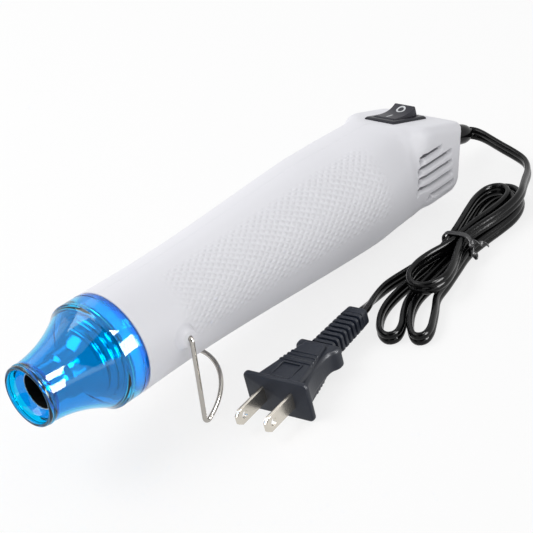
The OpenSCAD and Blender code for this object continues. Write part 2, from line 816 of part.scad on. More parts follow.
module neutral_lead() {
    route = [slope_point(boot_in + 0.4, -2, -boot_drop - 2.1), [switch_x + 4, -6, -5], [step_x + 7, -8, -9],
        [step_x - 11, -8, -8], [board_x + board_t + 1, -board_r / 2, -3]];
    color("white") resting() swept(smooth_route(route, 3), lead_d, lead_d, 6);
}

module heater_leads() {
    inner_r = sleeve_r * 0.62;
    wire = 2 * lead_wire_r;
    color("indianred") resting() for (a = lead_angles) {
        rotate([a, 0, 0]) swept(smooth_route([[board_x - 0.2, board_r * 0.75, 0], [board_x - 2, 13, 0],
            [motor_x1 + 1, lead_ring_r, 0], [motor_x0 + 10, lead_ring_r, 0],
            [shroud_x0 + 6, lead_ring_r, 0],
            [shroud_x0 - 2, lead_ring_r, 0], [sleeve_x1 + disc_t + 4, lead_ring_r - 3, 0],
            [sleeve_x1 + disc_t + 2, inner_r + 1, 0], [sleeve_x1 - 3, inner_r, 0]], 2), wire, wire, 6);
    }
}

// A bend of the wire in the XZ plane, from straight down round to the rear
module wire_bend(angle) {
    translate([bend_r, 0, 0]) rotate([90, 0, 0]) rotate([0, 0, 180])
        rotate_extrude(angle = angle, $fn = 96) translate([bend_r, 0]) circle(r = wire_r, $fn = 32);
}

// The stand in its own frame: hinge on the Y axis, legs down
module stand_wire() {
    foot_turn = 90 + bow_rise;
    bow_x = bend_r - bend_r * cos(foot_turn);
    bow_z = -straight_leg - bend_r * sin(foot_turn);
    y_in = waist_r - 3.4;
    y_out = leg_y - bend_r;
    for (side = [-1, 1]) {
        pin_y(0, 0, min(side * y_in, side * y_out), max(side * y_in, side * y_out), wire_r);
        translate([0, side * leg_y, -bend_r]) rotate([0, 0, -90 * side]) rotate([180, 0, 0]) wire_bend(90);
        translate([0, side * leg_y, -straight_leg])
            cylinder(h = straight_leg - bend_r, r = wire_r, $fn = 32);
        translate([0, side * leg_y, -straight_leg]) wire_bend(foot_turn);
        translate([bow_x, side * leg_y, bow_z]) sphere(r = wire_r + 0.02, $fn = 32);
    }
    translate([bow_x, 0, bow_z]) rotate([0, -bow_rise, 0]) rotate([0, 0, -90])
        rotate_extrude(angle = 180, $fn = 96) translate([leg_y, 0]) circle(r = wire_r, $fn = 32);
}

module wire_stand() {
    color("silver") resting() translate([hinge_x, 0, hinge_z]) rotate([0, leg_lean, 0]) stand_wire();
}

module strain_relief() {
    groove = boot_r1 - fit_gap;
    color("#1a1a1c") resting() on_slope() translate([0, 0, -boot_drop]) {
        turned([[0, boot_in], [boot_r0, boot_in], [boot_r0, tail_back - shell_wall - 0.1],
            [groove, tail_back - shell_wall - 0.1], [groove, tail_back + 0.1],
            [boot_r0, tail_back + 0.1], [boot_r0, tail_back + 4],
            [boot_r0 - 1.2, tail_back + 8], [boot_r1 - 0.6, tail_back + boot_len - 12],
            [boot_r1 + 0.2, tail_back + boot_len - 7], [boot_r1 + 0.3, tail_back + boot_len - 3],
            [boot_r1 - 0.9, tail_back + boot_len], [0, tail_back + boot_len]]);
    }
}

module supply_cord() { color("#141414") swept(smooth_route(lead_route, 3), cord_w, cord_t, 8); }

module plug_lead() { color("#141414") swept(smooth_route(plug_route, 3), cord_w, cord_t, 8); }

module cord_hank() {
    color("#141414") translate(hank_at) rotate([0, 0, hank_turn]) linear_extrude(hank_h) {
        square([hank_len - hank_w, hank_w], center = true);
        for (side = [-1, 1]) {
            translate([side * (hank_len - hank_w) / 2, 0]) circle(d = hank_w, $fn = 48);
        }
    }
}

module hank_loops() {
    color("#141414") {
        for (route = [smooth_route(left_loop, 2), smooth_route(right_loop, 2)]) {
            swept(route, cord_w, cord_t, 8, [for (p = route) [0, 0, 1]]);
        }
    }
}

module hank_tie() {
    reach = hank_w + 0.6;
    color("#202020") translate(hank_at) rotate([0, 0, hank_turn]) difference() {
        translate([-2, -reach / 2 - 0.6, 0]) cube([4, reach + 1.2, hank_h + 0.9]);
        translate([-3, -reach / 2, -1]) cube([6, reach, hank_h + 1.2]);
    }
}

module in_plug() {
    translate(plug_at) rotate([0, 0, plug_turn]) children();
}

module plug_body() {
    hw = plug_face_w / 2;
    sw = plug_stop_w / 2;
    neck = [plug_len - 17, plug_len - 11, plug_len - 7];
    stops = [plug_len - 4, plug_len - 2.5];
    half_line = [[0, hw], [2, hw], [3, hw - 2], [7, hw - 4.2], [neck[0], hw - 5.8], [neck[1], sw - 1.6],
                 [neck[2], sw - 2], [stops[0], sw - 1], [stops[1], sw], [plug_len, sw]];
    mirrored = [for (i = [len(half_line) - 1:-1:0]) [half_line[i].x, -half_line[i].y]];
    color("#2d3238") in_plug() intersection() {
        linear_extrude(plug_t) polygon(concat(half_line, mirrored));
        translate([0, 0, plug_t / 2]) rotate([90, 0, 0]) linear_extrude(plug_face_w + 2, center = true)
            polygon([[0, -plug_t / 2], [2.4, -plug_t / 2], [3.4, 1.2 - plug_t / 2],
                [plug_len, 2.6 - plug_t / 2], [plug_len, plug_t / 2 - 2.6], [3.4, plug_t / 2 - 1.2],
                [2.4, plug_t / 2], [0, plug_t / 2]]);
    }
}

module plug_relief() {
    pitch = rib_len / rib_count;
    color("#2d3238") in_plug() translate([plug_len, 0, plug_t / 2]) {
        translate([0, -3.2, -2.4]) cube([rib_len, 6.4, 4.8]);
        for (i = [0:rib_count - 1]) {
            translate([i * pitch, -5, -3.8]) cube([pitch * 0.62, 10, 7.6]);
        }
    }
}

module plug_blades() {
    color("silver") in_plug() for (side = [-1, 1]) {
        difference() {
            translate([-blade_len, side * blade_gap / 2 - blade_t / 2, plug_t / 2 - blade_w / 2])
                cube([blade_len, blade_t, blade_w]);
            pin_hole = -blade_len + 4;
            translate([pin_hole, side * blade_gap / 2 + 2, plug_t / 2]) rotate([90, 0, 0])
                cylinder(h = 4, r = 1.5, $fn = 24);
        }
    }
}

left_housing();
right_housing();
housing_screws();
nozzle_guard();
nozzle_tube();
mica_sleeve();
mica_cross();
heating_coil();
mica_disc();
thermal_fuse();
fan_shroud();
fan_impeller();
motor_can();
motor_magnets();
motor_armature();
motor_commutator();
motor_shaft();
motor_bushes();
motor_end_cap();
rectifier_board();
rectifier_diodes();
smoothing_capacitor();
switch_body();
switch_rocker();
switch_terminals();
live_lead();
neutral_lead();
heater_leads();
wire_stand();
strain_relief();
supply_cord();
cord_hank();
hank_loops();
hank_tie();
plug_lead();
plug_body();
plug_relief();
plug_blades();
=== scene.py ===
# %% [markdown]
# # Embossing heat tool
# A slim hot-air tool for melting embossing powder: a white two-part housing, a clear blue guard round a
# metal nozzle, a folding wire stand, a rocker switch and a flat twin lead, tied in a hank, with a plug.
# The construction is already made: every real piece is a solid in the frame that is loaded here. This
# script dresses it. It first loads the frame.

# %% Load the frame
import math
import bpy
import numpy as np
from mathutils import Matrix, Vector


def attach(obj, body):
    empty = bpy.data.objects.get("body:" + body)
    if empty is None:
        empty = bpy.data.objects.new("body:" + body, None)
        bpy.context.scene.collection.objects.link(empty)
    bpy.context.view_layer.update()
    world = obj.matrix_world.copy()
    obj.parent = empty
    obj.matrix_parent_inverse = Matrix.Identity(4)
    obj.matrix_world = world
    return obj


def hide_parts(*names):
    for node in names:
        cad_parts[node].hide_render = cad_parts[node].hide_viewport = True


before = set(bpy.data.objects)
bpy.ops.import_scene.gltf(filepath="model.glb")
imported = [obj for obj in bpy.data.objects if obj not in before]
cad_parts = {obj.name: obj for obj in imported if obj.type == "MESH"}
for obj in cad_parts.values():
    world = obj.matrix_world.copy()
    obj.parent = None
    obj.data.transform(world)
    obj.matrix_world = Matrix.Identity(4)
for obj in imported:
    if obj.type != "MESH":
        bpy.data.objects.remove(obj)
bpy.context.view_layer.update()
MM = 0.001

# %% [markdown]
# ## Camera and studio
# The tool lies diagonally across the picture, nozzle towards us and low on the left, seen from about
# thirty degrees above and with a long lens, so that its sides stay almost parallel. The camera is rolled
# a little, which a product photographer does to fit a long tool into a square picture.
# The floor is mostly white light, and the world fully white, for rays that are seen: from the camera, in
# a reflection or through a clear piece. The light gathered on the tool comes from three soft lamps and a
# weaker world, and the floor's white adds nothing to it.

# %% Place the camera
CAMERA_PLACE = (-0.3638, -0.4283, 0.3524)
CAMERA_TURN = (58.92, 12.48, -48.47)
camera_data = bpy.data.cameras.new("photo_camera")
camera_data.lens = 114.8
camera_data.sensor_width = 36
camera = bpy.data.objects.new("photo_camera", camera_data)
camera.location = CAMERA_PLACE
camera.rotation_euler = [math.radians(a) for a in CAMERA_TURN]
bpy.context.scene.collection.objects.link(camera)
bpy.context.scene.camera = camera
bpy.context.scene.view_settings.view_transform = "Standard"
print("camera: lens", camera_data.lens, "mm at", CAMERA_PLACE)

# %% [markdown]
# ## Shader maths as Python
# A material is a graph of nodes. Wired by hand it is hard to read, so one small class wraps a socket and
# lets Python's operators add the Math nodes: `1 - mask * 0.3` is two nodes and their links. Everything
# else comes from one method that takes the node's type, its settings and what its sockets get.

# %% Wrap sockets and node trees
class Number:
    """An output socket of a node. Operators on it add Math nodes to the same tree."""

    def __init__(self, finish, socket):
        self.finish = finish
        self.socket = socket

    def math(self, operation, *others):
        """A Math node on this number and the others."""
        return self.finish.node("ShaderNodeMath", {"operation": operation}, dict(enumerate((self, *others))))

    def __add__(self, other):
        return self.math("ADD", other)

    __radd__ = __add__

    def __sub__(self, other):
        return self.math("SUBTRACT", other)

    def __rsub__(self, other):
        return self.finish.node("ShaderNodeMath", {"operation": "SUBTRACT"}, {0: other, 1: self})

    def __mul__(self, other):
        return self.math("MULTIPLY", other)

    __rmul__ = __mul__

    def __pow__(self, other):
        return self.math("POWER", other)

    def __abs__(self):
        return self.math("ABSOLUTE")

    def step(self, low, high):
        """Smooth step: 0 below low, 1 above high, and the other way round where low is the larger."""
        if low > high:
            return 1 - self.step(high, low)
        sockets = {"Value": self, "From Min": low, "From Max": high}
        return self.finish.node("ShaderNodeMapRange", {"interpolation_type": "SMOOTHSTEP"}, sockets)


class Finish:
    """The node tree of a material or a world. node() adds any node: its type, settings and sockets."""

    def __init__(self, name, world=False, **constants):
        self.owner = (bpy.data.worlds if world else bpy.data.materials).new(name)
        self.owner.use_nodes = True
        self.tree = self.owner.node_tree
        self.surface = self.tree.nodes["Background" if world else "Principled BSDF"]
        self.set(self.surface, constants)

    def set(self, node, sockets):
        """Give a node's sockets their values or links. An underscore in a key stands for a space."""
        for key, value in sockets.items():
            socket = node.inputs[key.replace("_", " ") if isinstance(key, str) else key]
            if isinstance(value, Number):
                self.tree.links.new(value.socket, socket)
            elif socket.type == "RGBA" and len(value) == 3:
                socket.default_value = (*value, 1)
            else:
                socket.default_value = value

    def node(self, kind, settings=None, sockets=None, out=0):
        """Add a node and return its output out, or a list of outputs where out is a tuple."""
        made = self.tree.nodes.new(kind)
        for key, value in (settings or {}).items():
            setattr(made, key, value)
        self.set(made, sockets or {})
        if isinstance(out, tuple):
            return [Number(self, made.outputs[k]) for k in out]
        return Number(self, made.outputs[out])

    def object_place(self):
        """Object coordinates in metres: every piece's object sits at the origin."""
        return self.node("ShaderNodeTexCoord", out="Object")

    def along(self):
        """The mesh's own coordinates u and v, from the layer that `build` makes."""
        place = self.node("ShaderNodeUVMap", {"uv_map": "along"})
        return self.node("ShaderNodeSeparateXYZ", {}, {0: place}, out=(0, 1))

    def noise(self, scale, detail):
        """Soft noise of so many waves per metre, with finer waves added by the detail."""
        sockets = {"Vector": self.object_place(), "Scale": scale, "Detail": detail}
        return self.node("ShaderNodeTexNoise", {}, sockets)

    def blend(self, factor, first, second):
        """A colour that goes from first to second by the factor."""
        return self.node("ShaderNodeMix", {"data_type": "RGBA"}, {0: factor, 6: first, 7: second}, out=2)

    def bump(self, height, distance):
        """Shade the surface as if it rose by height times a distance in metres."""
        bumped = self.node("ShaderNodeBump", {}, {"Height": height, "Distance": distance})
        self.set(self.surface, {"Normal": bumped})

    def paint(self, colour=None, **sockets):
        """Set the surface node's sockets, and return the material or world."""
        if colour is not None:
            sockets["Base_Color"] = colour
        self.set(self.surface, sockets)
        return self.owner


GLOSS_SPREAD = 0.12


def plain(name, colour, roughness, grain=900.0, depth=0.00004, shift=0.12, metallic=0.0, **constants):
    """A moulded or milled finish: its colour shifts slowly, its gloss a little, and it has a fine grain."""
    finish = Finish(name, Metallic=metallic, **constants)
    cloud = finish.noise(60.0, 3.0)
    finish.bump(finish.noise(grain, 2.0), depth)
    dark = [c * (1 - shift) for c in colour]
    light = [min(1.0, c * (1 + shift)) for c in colour]
    gloss = cloud * GLOSS_SPREAD + (roughness - GLOSS_SPREAD / 2)
    return finish.paint(finish.blend(cloud, dark, light), Roughness=gloss)


print("shader tools ready")

# %% [markdown]
# ## Surfaces as arrays
# Every new piece is worked out as whole arrays: a function of two parameters on a grid, or a profile
# carried along a path. The grid's quads share one index rule, and `build` puts points and faces into a
# mesh in one go. It also measures the signed volume, and turns the faces over if they point inwards.

# %% Mesh helpers
def grid_quads(rows, columns, wrap=True, close=False):
    """Quads of a rows x columns grid of points; wrap joins the last column to the first, close the rows."""
    across = np.arange(columns if wrap else columns - 1)
    along = np.arange(rows if close else rows - 1)
    a, c = np.meshgrid(along, across, indexing="ij")
    b, d = (a + 1) % rows, (c + 1) % columns
    return np.stack([a * columns + c, a * columns + d, b * columns + d, b * columns + c], -1).reshape(-1, 4)


def signed_volume(points, faces):
    """Sum over each face's triangle fan of the box product of its corners, over six."""
    total = 0.0
    for k in range(1, faces.shape[1] - 1):
        p, q, r = points[faces[:, 0]], points[faces[:, k]], points[faces[:, k + 1]]
        total += np.einsum("ij,ij->", p, np.cross(q, r)) / 6
    return total


def build(name, points, *face_sets, uv=None, sharp=40.0, material=None):
    """A mesh object from points in metres and arrays of faces, smooth except over the sharp angle."""
    points = np.asarray(points, float).reshape(-1, 3)
    sets = [np.asarray(f) for f in face_sets if len(f)]
    if sum(signed_volume(points, f) for f in sets) < 0:
        sets = [f[:, ::-1] for f in sets]
    corners = np.concatenate([f.ravel() for f in sets])
    sizes = np.concatenate([np.full(len(f), f.shape[1]) for f in sets])
    mesh = bpy.data.meshes.new(name)
    mesh.vertices.add(len(points))
    mesh.vertices.foreach_set("co", points.astype(np.float32).ravel())
    mesh.loops.add(len(corners))
    mesh.loops.foreach_set("vertex_index", corners.astype(np.int32))
    mesh.polygons.add(len(sizes))
    mesh.polygons.foreach_set("loop_start", (np.cumsum(sizes) - sizes).astype(np.int32))
    mesh.polygons.foreach_set("loop_total", sizes.astype(np.int32))
    mesh.update(calc_edges=True)
    if uv is not None:
        layer = mesh.uv_layers.new(name="along")
        layer.data.foreach_set("uv", np.asarray(uv, np.float32).reshape(-1, 2)[corners].ravel())
    mesh.polygons.foreach_set("use_smooth", np.ones(len(sizes), bool))
    mesh.set_sharp_from_angle(angle=math.radians(sharp))
    mesh.validate()
    piece = bpy.data.objects.new(name, mesh)
    bpy.context.scene.collection.objects.link(piece)
    if material:
        mesh.materials.append(material)
    print(f"{name}: {len(points)} points, {len(sizes)} faces")
    return piece


def dress(piece, body, slot, *nodes):
    """The piece rides on its body and stands for these CAD nodes, which are hidden. The slot is not used."""
    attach(piece, body)
    if nodes:
        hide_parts(*nodes)
    return piece


def smooth_path(knots, spacing, blur):
    """A smooth curve through the knots, resampled at equal steps. Each row may hold more than a place.

    Between two knots it is a cubic whose end slopes come from the neighbours, weighted by the chords
    (a non-uniform Catmull-Rom curve). Blur then rounds it with a Gaussian of that width.
    """
    knots = np.asarray(knots, float)
    chord = np.linalg.norm(np.diff(knots[:, :3], axis=0), axis=1)
    t = np.concatenate([[0], np.cumsum(chord)])
    slope = np.gradient(knots, t, axis=0)
    fine = np.linspace(0, t[-1], 20 * len(t))
    k = np.clip(np.searchsorted(t, fine, side="right") - 1, 0, len(t) - 2)
    h = chord[k][:, None]
    s = (fine[:, None] - t[k][:, None]) / h
    curve = ((2 * s**3 - 3 * s**2 + 1) * knots[k] + (s**3 - 2 * s**2 + s) * h * slope[k]
             + (3 * s**2 - 2 * s**3) * knots[k + 1] + (s**3 - s**2) * h * slope[k + 1])
    reach = np.concatenate([[0], np.cumsum(np.linalg.norm(np.diff(curve[:, :3], axis=0), axis=1))])
    steps = np.linspace(0, reach[-1], max(2, int(round(reach[-1] / spacing)) + 1))
    even = np.stack([np.interp(steps, reach, column) for column in curve.T], -1)
    size = int(3 * blur / spacing)
    weight = np.exp(-0.5 * (np.arange(-size, size + 1) * spacing / blur) ** 2)
    padded = np.concatenate([2 * even[0] - even[size:0:-1], even, 2 * even[-1] - even[-2:-size - 2:-1]])
    return np.stack([np.convolve(c, weight / weight.sum(), "valid") for c in padded.T], -1)


def unit(v):
    """Vectors scaled to length one."""
    return v / np.linalg.norm(v, axis=-1, keepdims=True)


def directions(path):
    """Unit tangents of a path: central differences, normalised."""
    return unit(np.gradient(path, axis=0))


def rolled(path, roll):
    """Side vectors of a path: level where roll is 0, and turned about the path by roll radians."""
    level = unit(np.cross([0, 0, 1], directions(path)))
    upright = np.cross(directions(path), level)
    return np.cos(roll)[:, None] * level + np.sin(roll)[:, None] * upright


def carried(path, wide, profile):
    """Rings of points: each profile point (a, b) sits at path + a * wide + b * (tangent x wide)."""
    thick = np.cross(directions(path), wide)
    return (path[:, None] + (profile[:, :1] * wide[:, None] + profile[:, 1:] * thick[:, None])).reshape(-1, 3)


def caps(rings, sides):
    """The flat faces at both ends of a tube or loft, the first of them turned over."""
    return np.arange(sides)[::-1][None], ((rings - 1) * sides + np.arange(sides))[None]


def tube(name, path, wide, profile, **more):
    """A closed tube: the profile carried along the path, with a flat face at either end."""
    rings, sides = len(path), len(profile)
    return build(name, carried(path, wide, profile), grid_quads(rings, sides), *caps(rings, sides), **more)


def turns(sides):
    """The angles of so many equal steps round a circle."""
    return np.arange(sides) * 2 * np.pi / sides


def circle(radius, sides):
    """Points round a circle: radius times cosine and sine."""
    return radius * np.stack([np.cos(turns(sides)), np.sin(turns(sides))], -1)


def squared_up(wave, power):
    """A sine or cosine with its size raised to a power below one, which makes the circle boxy."""
    return np.sign(wave) * np.abs(wave) ** power


print("mesh helpers ready")

# %% [markdown]
# ## The lead
# The lead is the only soft part, so its facts come first: flat twin wire, 5.4 mm over both cores and
# 2.8 mm thick, moderately stiff, out of the strain relief, tied in a hank and ending in the plug. The
# photograph shows both free runs and every fold and loop that sticks out of the hank. Inside the hank
# the passes hide one another, so there the route is inferred. A flat wire bends only over its thin
# side, so in the folds and loose loops it stands on edge, and the twist happens on the free runs.
# It could be a bezier curve with a bevel object, but a mesh tube gives the two round cores with the
# groove between them, and lets each knot say how far the wire has rolled over.

# %% Knots of the lead, in millimetres; rolls are in degrees (0 lies flat, 90 stands on edge)
LOW, HIGH = 2.75, 8.25
LEAD_ROUTE = [(138.5, 0, 11.2), (141.6, -1.4, 10.1), (142.4, -5.5, 9), (141.2, -11.5, 8), (139.8, -18, 6.7),
              (138.6, -25, 5.2), (136.4, -31.6, 4), (132, -36, 3.8), (126.6, -39.4, 4.4), (121, -42.4, 5.6)]
LEAD_ROLL = [60, 72, 84, 90, 90, 90, 90, 90, 90, 90]
PLUG_ROUTE = [(10, -41.5, 8), (16.5, -39.6, 6.6), (23, -36.6, 4.4), (30, -34.4, 3), (37, -33.8, LOW),
              (43.2, -34.8, LOW), (49, -36, LOW), (55.6, -37.4, LOW), (62.8, -39.2, LOW)]
PLUG_ROLL = [0, 12, 40, 70, 86, 90, 90, 90, 90]
LEFT_LOOP = [(34.8, -41.4), (25.2, -42.8), (16.2, -46.9), (9.9, -52.8), (8.9, -56.2), (11, -58.4),
             (15.6, -57.4), (24, -52.4), (31, -48.9), (37.6, -47.4)]
RIGHT_LOOP = [(36.5, -50.6), (29.5, -52.8), (22, -57), (15.4, -62.6), (13, -66.2), (14.4, -69),
              (18.2, -68.8), (24.5, -65.8), (31.4, -61.8), (38.6, -57.4)]
HANK_AT = (78, -46)
HANK_TURN = 8
LEAD_IN = [(36, -5.2, 7), (29.5, -7.6, 8), (24, -8.4, HIGH), (17, -7.9, HIGH), (9, -6, HIGH),
           (0, -3.2, HIGH), (-9, -1.4, HIGH)]
TOP_FOLD = [(-20, -4.2, HIGH), (-29, -7, 8.4), (-37, -7.7, 8.6), (-43, -4.4, 8.6), (-44, 1, 8.6),
            (-39.5, 6, 8.6), (-31, 7.6, 8.6), (-23, 6, 8.5), (-16, 3.3, HIGH), (-9, 1.4, HIGH)]
HIGH_FOLD = [(2, 0, HIGH), (12, -2.5, HIGH), (20, -4, HIGH), (27, -3.2, HIGH), (31, 1.2, HIGH), (29, 6, HIGH),
             (22, 8, HIGH), (12, 7.2, HIGH), (2, 5.6, HIGH), (-9, 4.2, HIGH), (-16, 5.7, 5.8),
             (-24, 7.5, 2.95), (-32, 9, LOW)]
INNER_FOLD = [(-31, 3.8), (-20, 3.2), (-9, 2.8), (5, 4.6), (16, 7), (26, 7.7), (33, 5.6), (35, 1.6),
              (32, -2.4), (25, -4.4), (16, -4.2), (5, -1.8), (-9, 0), (-20, -0.4), (-31, 0.2)]
OUTER_FOLD = [(-31, -5), (-20, -3.8), (-9, -2.8), (3, -4.8), (12, -7), (20, -8.3), (28, -7.3), (35, -3.8),
              (39, 1), (39, 6), (34.5, 9.7), (27, 10.9), (17, 10.4), (4, 8.4), (-9, 5.6)]


def in_hank(knots):
    """Knots given along and across the hank, turned and moved to where it lies."""
    k = np.array(knots, float)
    c, s = math.cos(math.radians(HANK_TURN)), math.sin(math.radians(HANK_TURN))
    x, y = k[:, 0] * c - k[:, 1] * s + HANK_AT[0], k[:, 0] * s + k[:, 1] * c + HANK_AT[1]
    return np.column_stack([x, y, k[:, 2:]])


def with_roll(route, roll=90):
    """Each place with the wire's roll there. Places given without a height are at LOW."""
    route = np.array(route, float)
    if route.shape[1] == 2:
        route = np.column_stack([route, np.full(len(route), LOW)])
    return np.column_stack([route, np.broadcast_to(roll, len(route))])


# %% Carry the twin section along the lead
CORD_WIDTH = 5.4
CORD_THICK = 2.8
CORD_SIDES = 28
RING_STEP = 1.3
PATH_BLUR = 1.6
GROOVE_DEPTH = 0.34
GROOVE_WIDTH = 0.2
knots = np.concatenate([
    with_roll(LEAD_ROUTE, LEAD_ROLL), with_roll(in_hank(LEAD_IN + TOP_FOLD + HIGH_FOLD)),
    with_roll(LEFT_LOOP), with_roll(in_hank(INNER_FOLD)),
    with_roll(RIGHT_LOOP), with_roll(in_hank(OUTER_FOLD)), with_roll(PLUG_ROUTE, PLUG_ROLL)[::-1]])
line = smooth_path(knots, RING_STEP, PATH_BLUR)
path = line[:, :3]
t = turns(CORD_SIDES)
groove = 1 - GROOVE_DEPTH * np.exp(-((np.cos(t) / GROOVE_WIDTH) ** 2))
twin = np.stack([CORD_WIDTH / 2 * np.cos(t), CORD_THICK / 2 * squared_up(np.sin(t), 0.7) * groove], -1)
cord_reach = np.linalg.norm(np.diff(path, axis=0), axis=1).sum()
cord_along = np.repeat(np.linspace(0, cord_reach, len(path)), CORD_SIDES) / 10
cord_across = np.tile(np.cos(t) + 0.02 * np.sign(np.sin(t)), len(path))
lead = tube("lead", path * MM, rolled(path, np.radians(line[:, 3])), twin * MM,
            uv=np.column_stack([cord_across, cord_along]))
print("lead: measured", round(cord_reach), "mm, lowest point", round(float(path[:, 2].min()), 2), "mm")

# %% [markdown]
# ## The tool's own frame
# The housing is easiest to describe along its own axis, from the nozzle's mouth to the tail. The tool
# rests tipped, on the feet of its stand and on its belly, so each point is turned by the rest tilt and
# lifted. The sizes below are the construction's own, except for two: TAIL_BACK is 2.5 mm more, as the
# photograph has it, and BOSS_OUT belongs to bosses that are softer here than in the solids. The switch
# sits on a sloping face, which gets a frame too: u runs down the slope to the rear and w stands out of it.

# %% Name the tool's sizes, in millimetres
REST_TILT = math.radians(4.73906)
REST_SHIFT = (-110.5801, 40.29594)
MOUTH_R = 11.8
SHOULDER_X = 29.5
BAND_R = 20.8
BAND_END = 39.0
GUARD_WALL = 1.4
WAIST_R = 20.5
WAIST_X = 62.0
GRIP_R = 24.6
GRIP_X = 182.0
STEP_X = 191.0
STEP_LEN = 15.0
NECK_R = 17.0
SHELL_WALL = 2.0
TAIL_HALF_WIDTH = 21.5
TAIL_DROP = 17.6
TAIL_BACK = 19.0
SLOPE = math.radians(16.3)
SWITCH_AT = (207.2, 16.7)
HINGE_AT = (56.8, -0.8)
BOSS_OUT = 2.9


def rested(p):
    """Tool frame to world, in metres: turn by the rest tilt about y, shift back, lift onto the floor."""
    p = np.asarray(p, float)
    c, s = math.cos(REST_TILT), math.sin(REST_TILT)
    x = p[..., 0] * c + p[..., 2] * s + REST_SHIFT[0]
    z = p[..., 2] * c - p[..., 0] * s + REST_SHIFT[1]
    return np.stack([x, p[..., 1], z], -1) * MM


def on_slope(u, y, w):
    """A point of the sloping face's frame, in the tool frame."""
    c, s = math.cos(SLOPE), math.sin(SLOPE)
    return np.stack(np.broadcast_arrays(SWITCH_AT[0] + u * c + w * s, y, SWITCH_AT[1] - u * s + w * c), -1)


def slope_frame(x, z):
    """How far down the sloping face a point of the tool frame lies, and how far out of it."""
    c, s = math.cos(SLOPE), math.sin(SLOPE)
    x, z = x - SWITCH_AT[0], z - SWITCH_AT[1]
    return x * c - z * s, x * s + z * c


def revolved(name, profile, along, sides=160, **more):
    """The profile's (radius, x) points turned round the tool's axis. along is the u of each of them."""
    profile = np.asarray(profile, float)
    t = turns(sides)
    x = np.broadcast_to(profile[:, 1:], (len(profile), sides))
    points = np.stack([x, profile[:, :1] * np.sin(t), profile[:, :1] * np.cos(t)], -1)
    uv = np.zeros((len(profile), sides, 2))
    uv[..., 0] = np.reshape(along, (-1, 1))
    return build(name, rested(points), grid_quads(len(profile), sides, close=True), uv=uv, **more)


print("mouth at", rested([0, 0, 0]).round(4), "hinge at", rested([HINGE_AT[0], 0, HINGE_AT[1]]).round(4))

# %% [markdown]
# ## Housing halves
# The real housing is two moulded shells that meet along the top and the belly. The grip is a slowly
# swelling round, the tail a box with soft edges, and the switch face cuts both at a slope. Boolean
# solids with bevels would give hard meeting lines; the real mould flows. So the shape is one implicit
# function, negative inside: rounded unions and intersections of a few simple distances. Rays from a
# spine look for its zero by halving. Where a slot or a hole needs it, the rays stand closer.

# %% The housing as a distance
def ease(t):
    """Smooth step from 0 to 1: t * t * (3 - 2 t)."""
    t = np.clip(t, 0, 1)
    return t * t * (3 - 2 * t)


def ramp(x, stretch):
    """Smooth step over a stretch, which is given as its start and its length."""
    start, length = stretch
    return ease((x - start) / length)


def grip_out(x):
    """Outer radius along the tool: out to the band in front, a long swell to the grip, a step to the tail."""
    front = WAIST_R + (BAND_R - WAIST_R) * (np.clip(WAIST_X - x, 0, None) / (WAIST_X - BAND_END)) ** 2
    swell = WAIST_R + (GRIP_R - WAIST_R) * ease((x - WAIST_X) / (GRIP_X - WAIST_X))
    step = (GRIP_R - NECK_R) * ease((x - STEP_X) / STEP_LEN)
    return np.where(x < WAIST_X, front, swell - step)


def round_and(a, b, r):
    """Intersection of two distances with its edge rounded to r."""
    return np.minimum(-r, np.maximum(a, b)) + np.hypot(np.maximum(r + a, 0), np.maximum(r + b, 0))


def round_or(a, b, r):
    """Union of two distances with its inner corner filled to r."""
    return np.maximum(r, np.minimum(a, b)) - np.hypot(np.maximum(r - a, 0), np.maximum(r - b, 0))


# Where along the tool each change of form starts, and over what length it happens
END_SHIFT = (174, 12)
SIDE_THINNING = (168, 22)
BELLY_LEVEL = (188.5, 10)
TAIL_GROWTH = (GRIP_X, 26)
SLOPE_SHARPENING = (160, 36)
# How far the edges of the tail and of the grip's end are rounded
BELLY_EDGE = 8
REAR_EDGE = 4
FRONT_EDGE = 4
GRIP_END_EDGE = 3


def housing_distance(p):
    """Grip united with the tail box, then cut by the switch slope, all with soft edges.

    In front the tail box is held inside the grip by a round that grows past the box's corners, so that
    its shoulders rise out of the grip without a step. On the sides the grip ends sooner than below.
    """
    x, y, z = p[..., 0], p[..., 1], p[..., 2]
    u, w = slope_frame(x, z)
    reach = np.hypot(y, z)
    to_side = (y / np.maximum(reach, 1)) ** 2
    later = (5 - 8 * to_side) * ramp(x, END_SHIFT)
    grip = reach - grip_out(x - later) + 3.0 * to_side * ramp(x, SIDE_THINNING)
    grip += math.tan(REST_TILT) * np.clip(x - BELLY_LEVEL[0], 0, BELLY_LEVEL[1]) * (1 - to_side)
    grip = round_and(grip, x - STEP_X - STEP_LEN - GRIP_END_EDGE, GRIP_END_EDGE)
    tail = round_and(np.abs(y) - TAIL_HALF_WIDTH, -TAIL_DROP - z, BELLY_EDGE)
    tail = round_and(tail, u - TAIL_BACK, REAR_EDGE)
    growth = 7 - 12 * ramp(x, TAIL_GROWTH)
    tail = round_and(tail, reach - grip_out(np.minimum(x, GRIP_X)) + growth, FRONT_EDGE)
    slope_edge = 3.5 + 10 * (1 - ramp(x, SLOPE_SHARPENING))
    return round_and(round_or(grip, tail, 6 - 4.8 * to_side), w, slope_edge)


def halved(place, shape, span, rounds, offset):
    """Halves the span of distances so many times, keeping the half in which the wall lies.

    place(distance) gives the points, and the wall is where housing_distance is -offset.
    """
    near, far = np.full(shape, span[0]), np.full(shape, span[1])
    for _ in range(rounds):
        middle = (near + far) / 2
        outside = housing_distance(place(middle)) > -offset
        far = np.where(outside, middle, far)
        near = np.where(outside, near, middle)
    return near, far


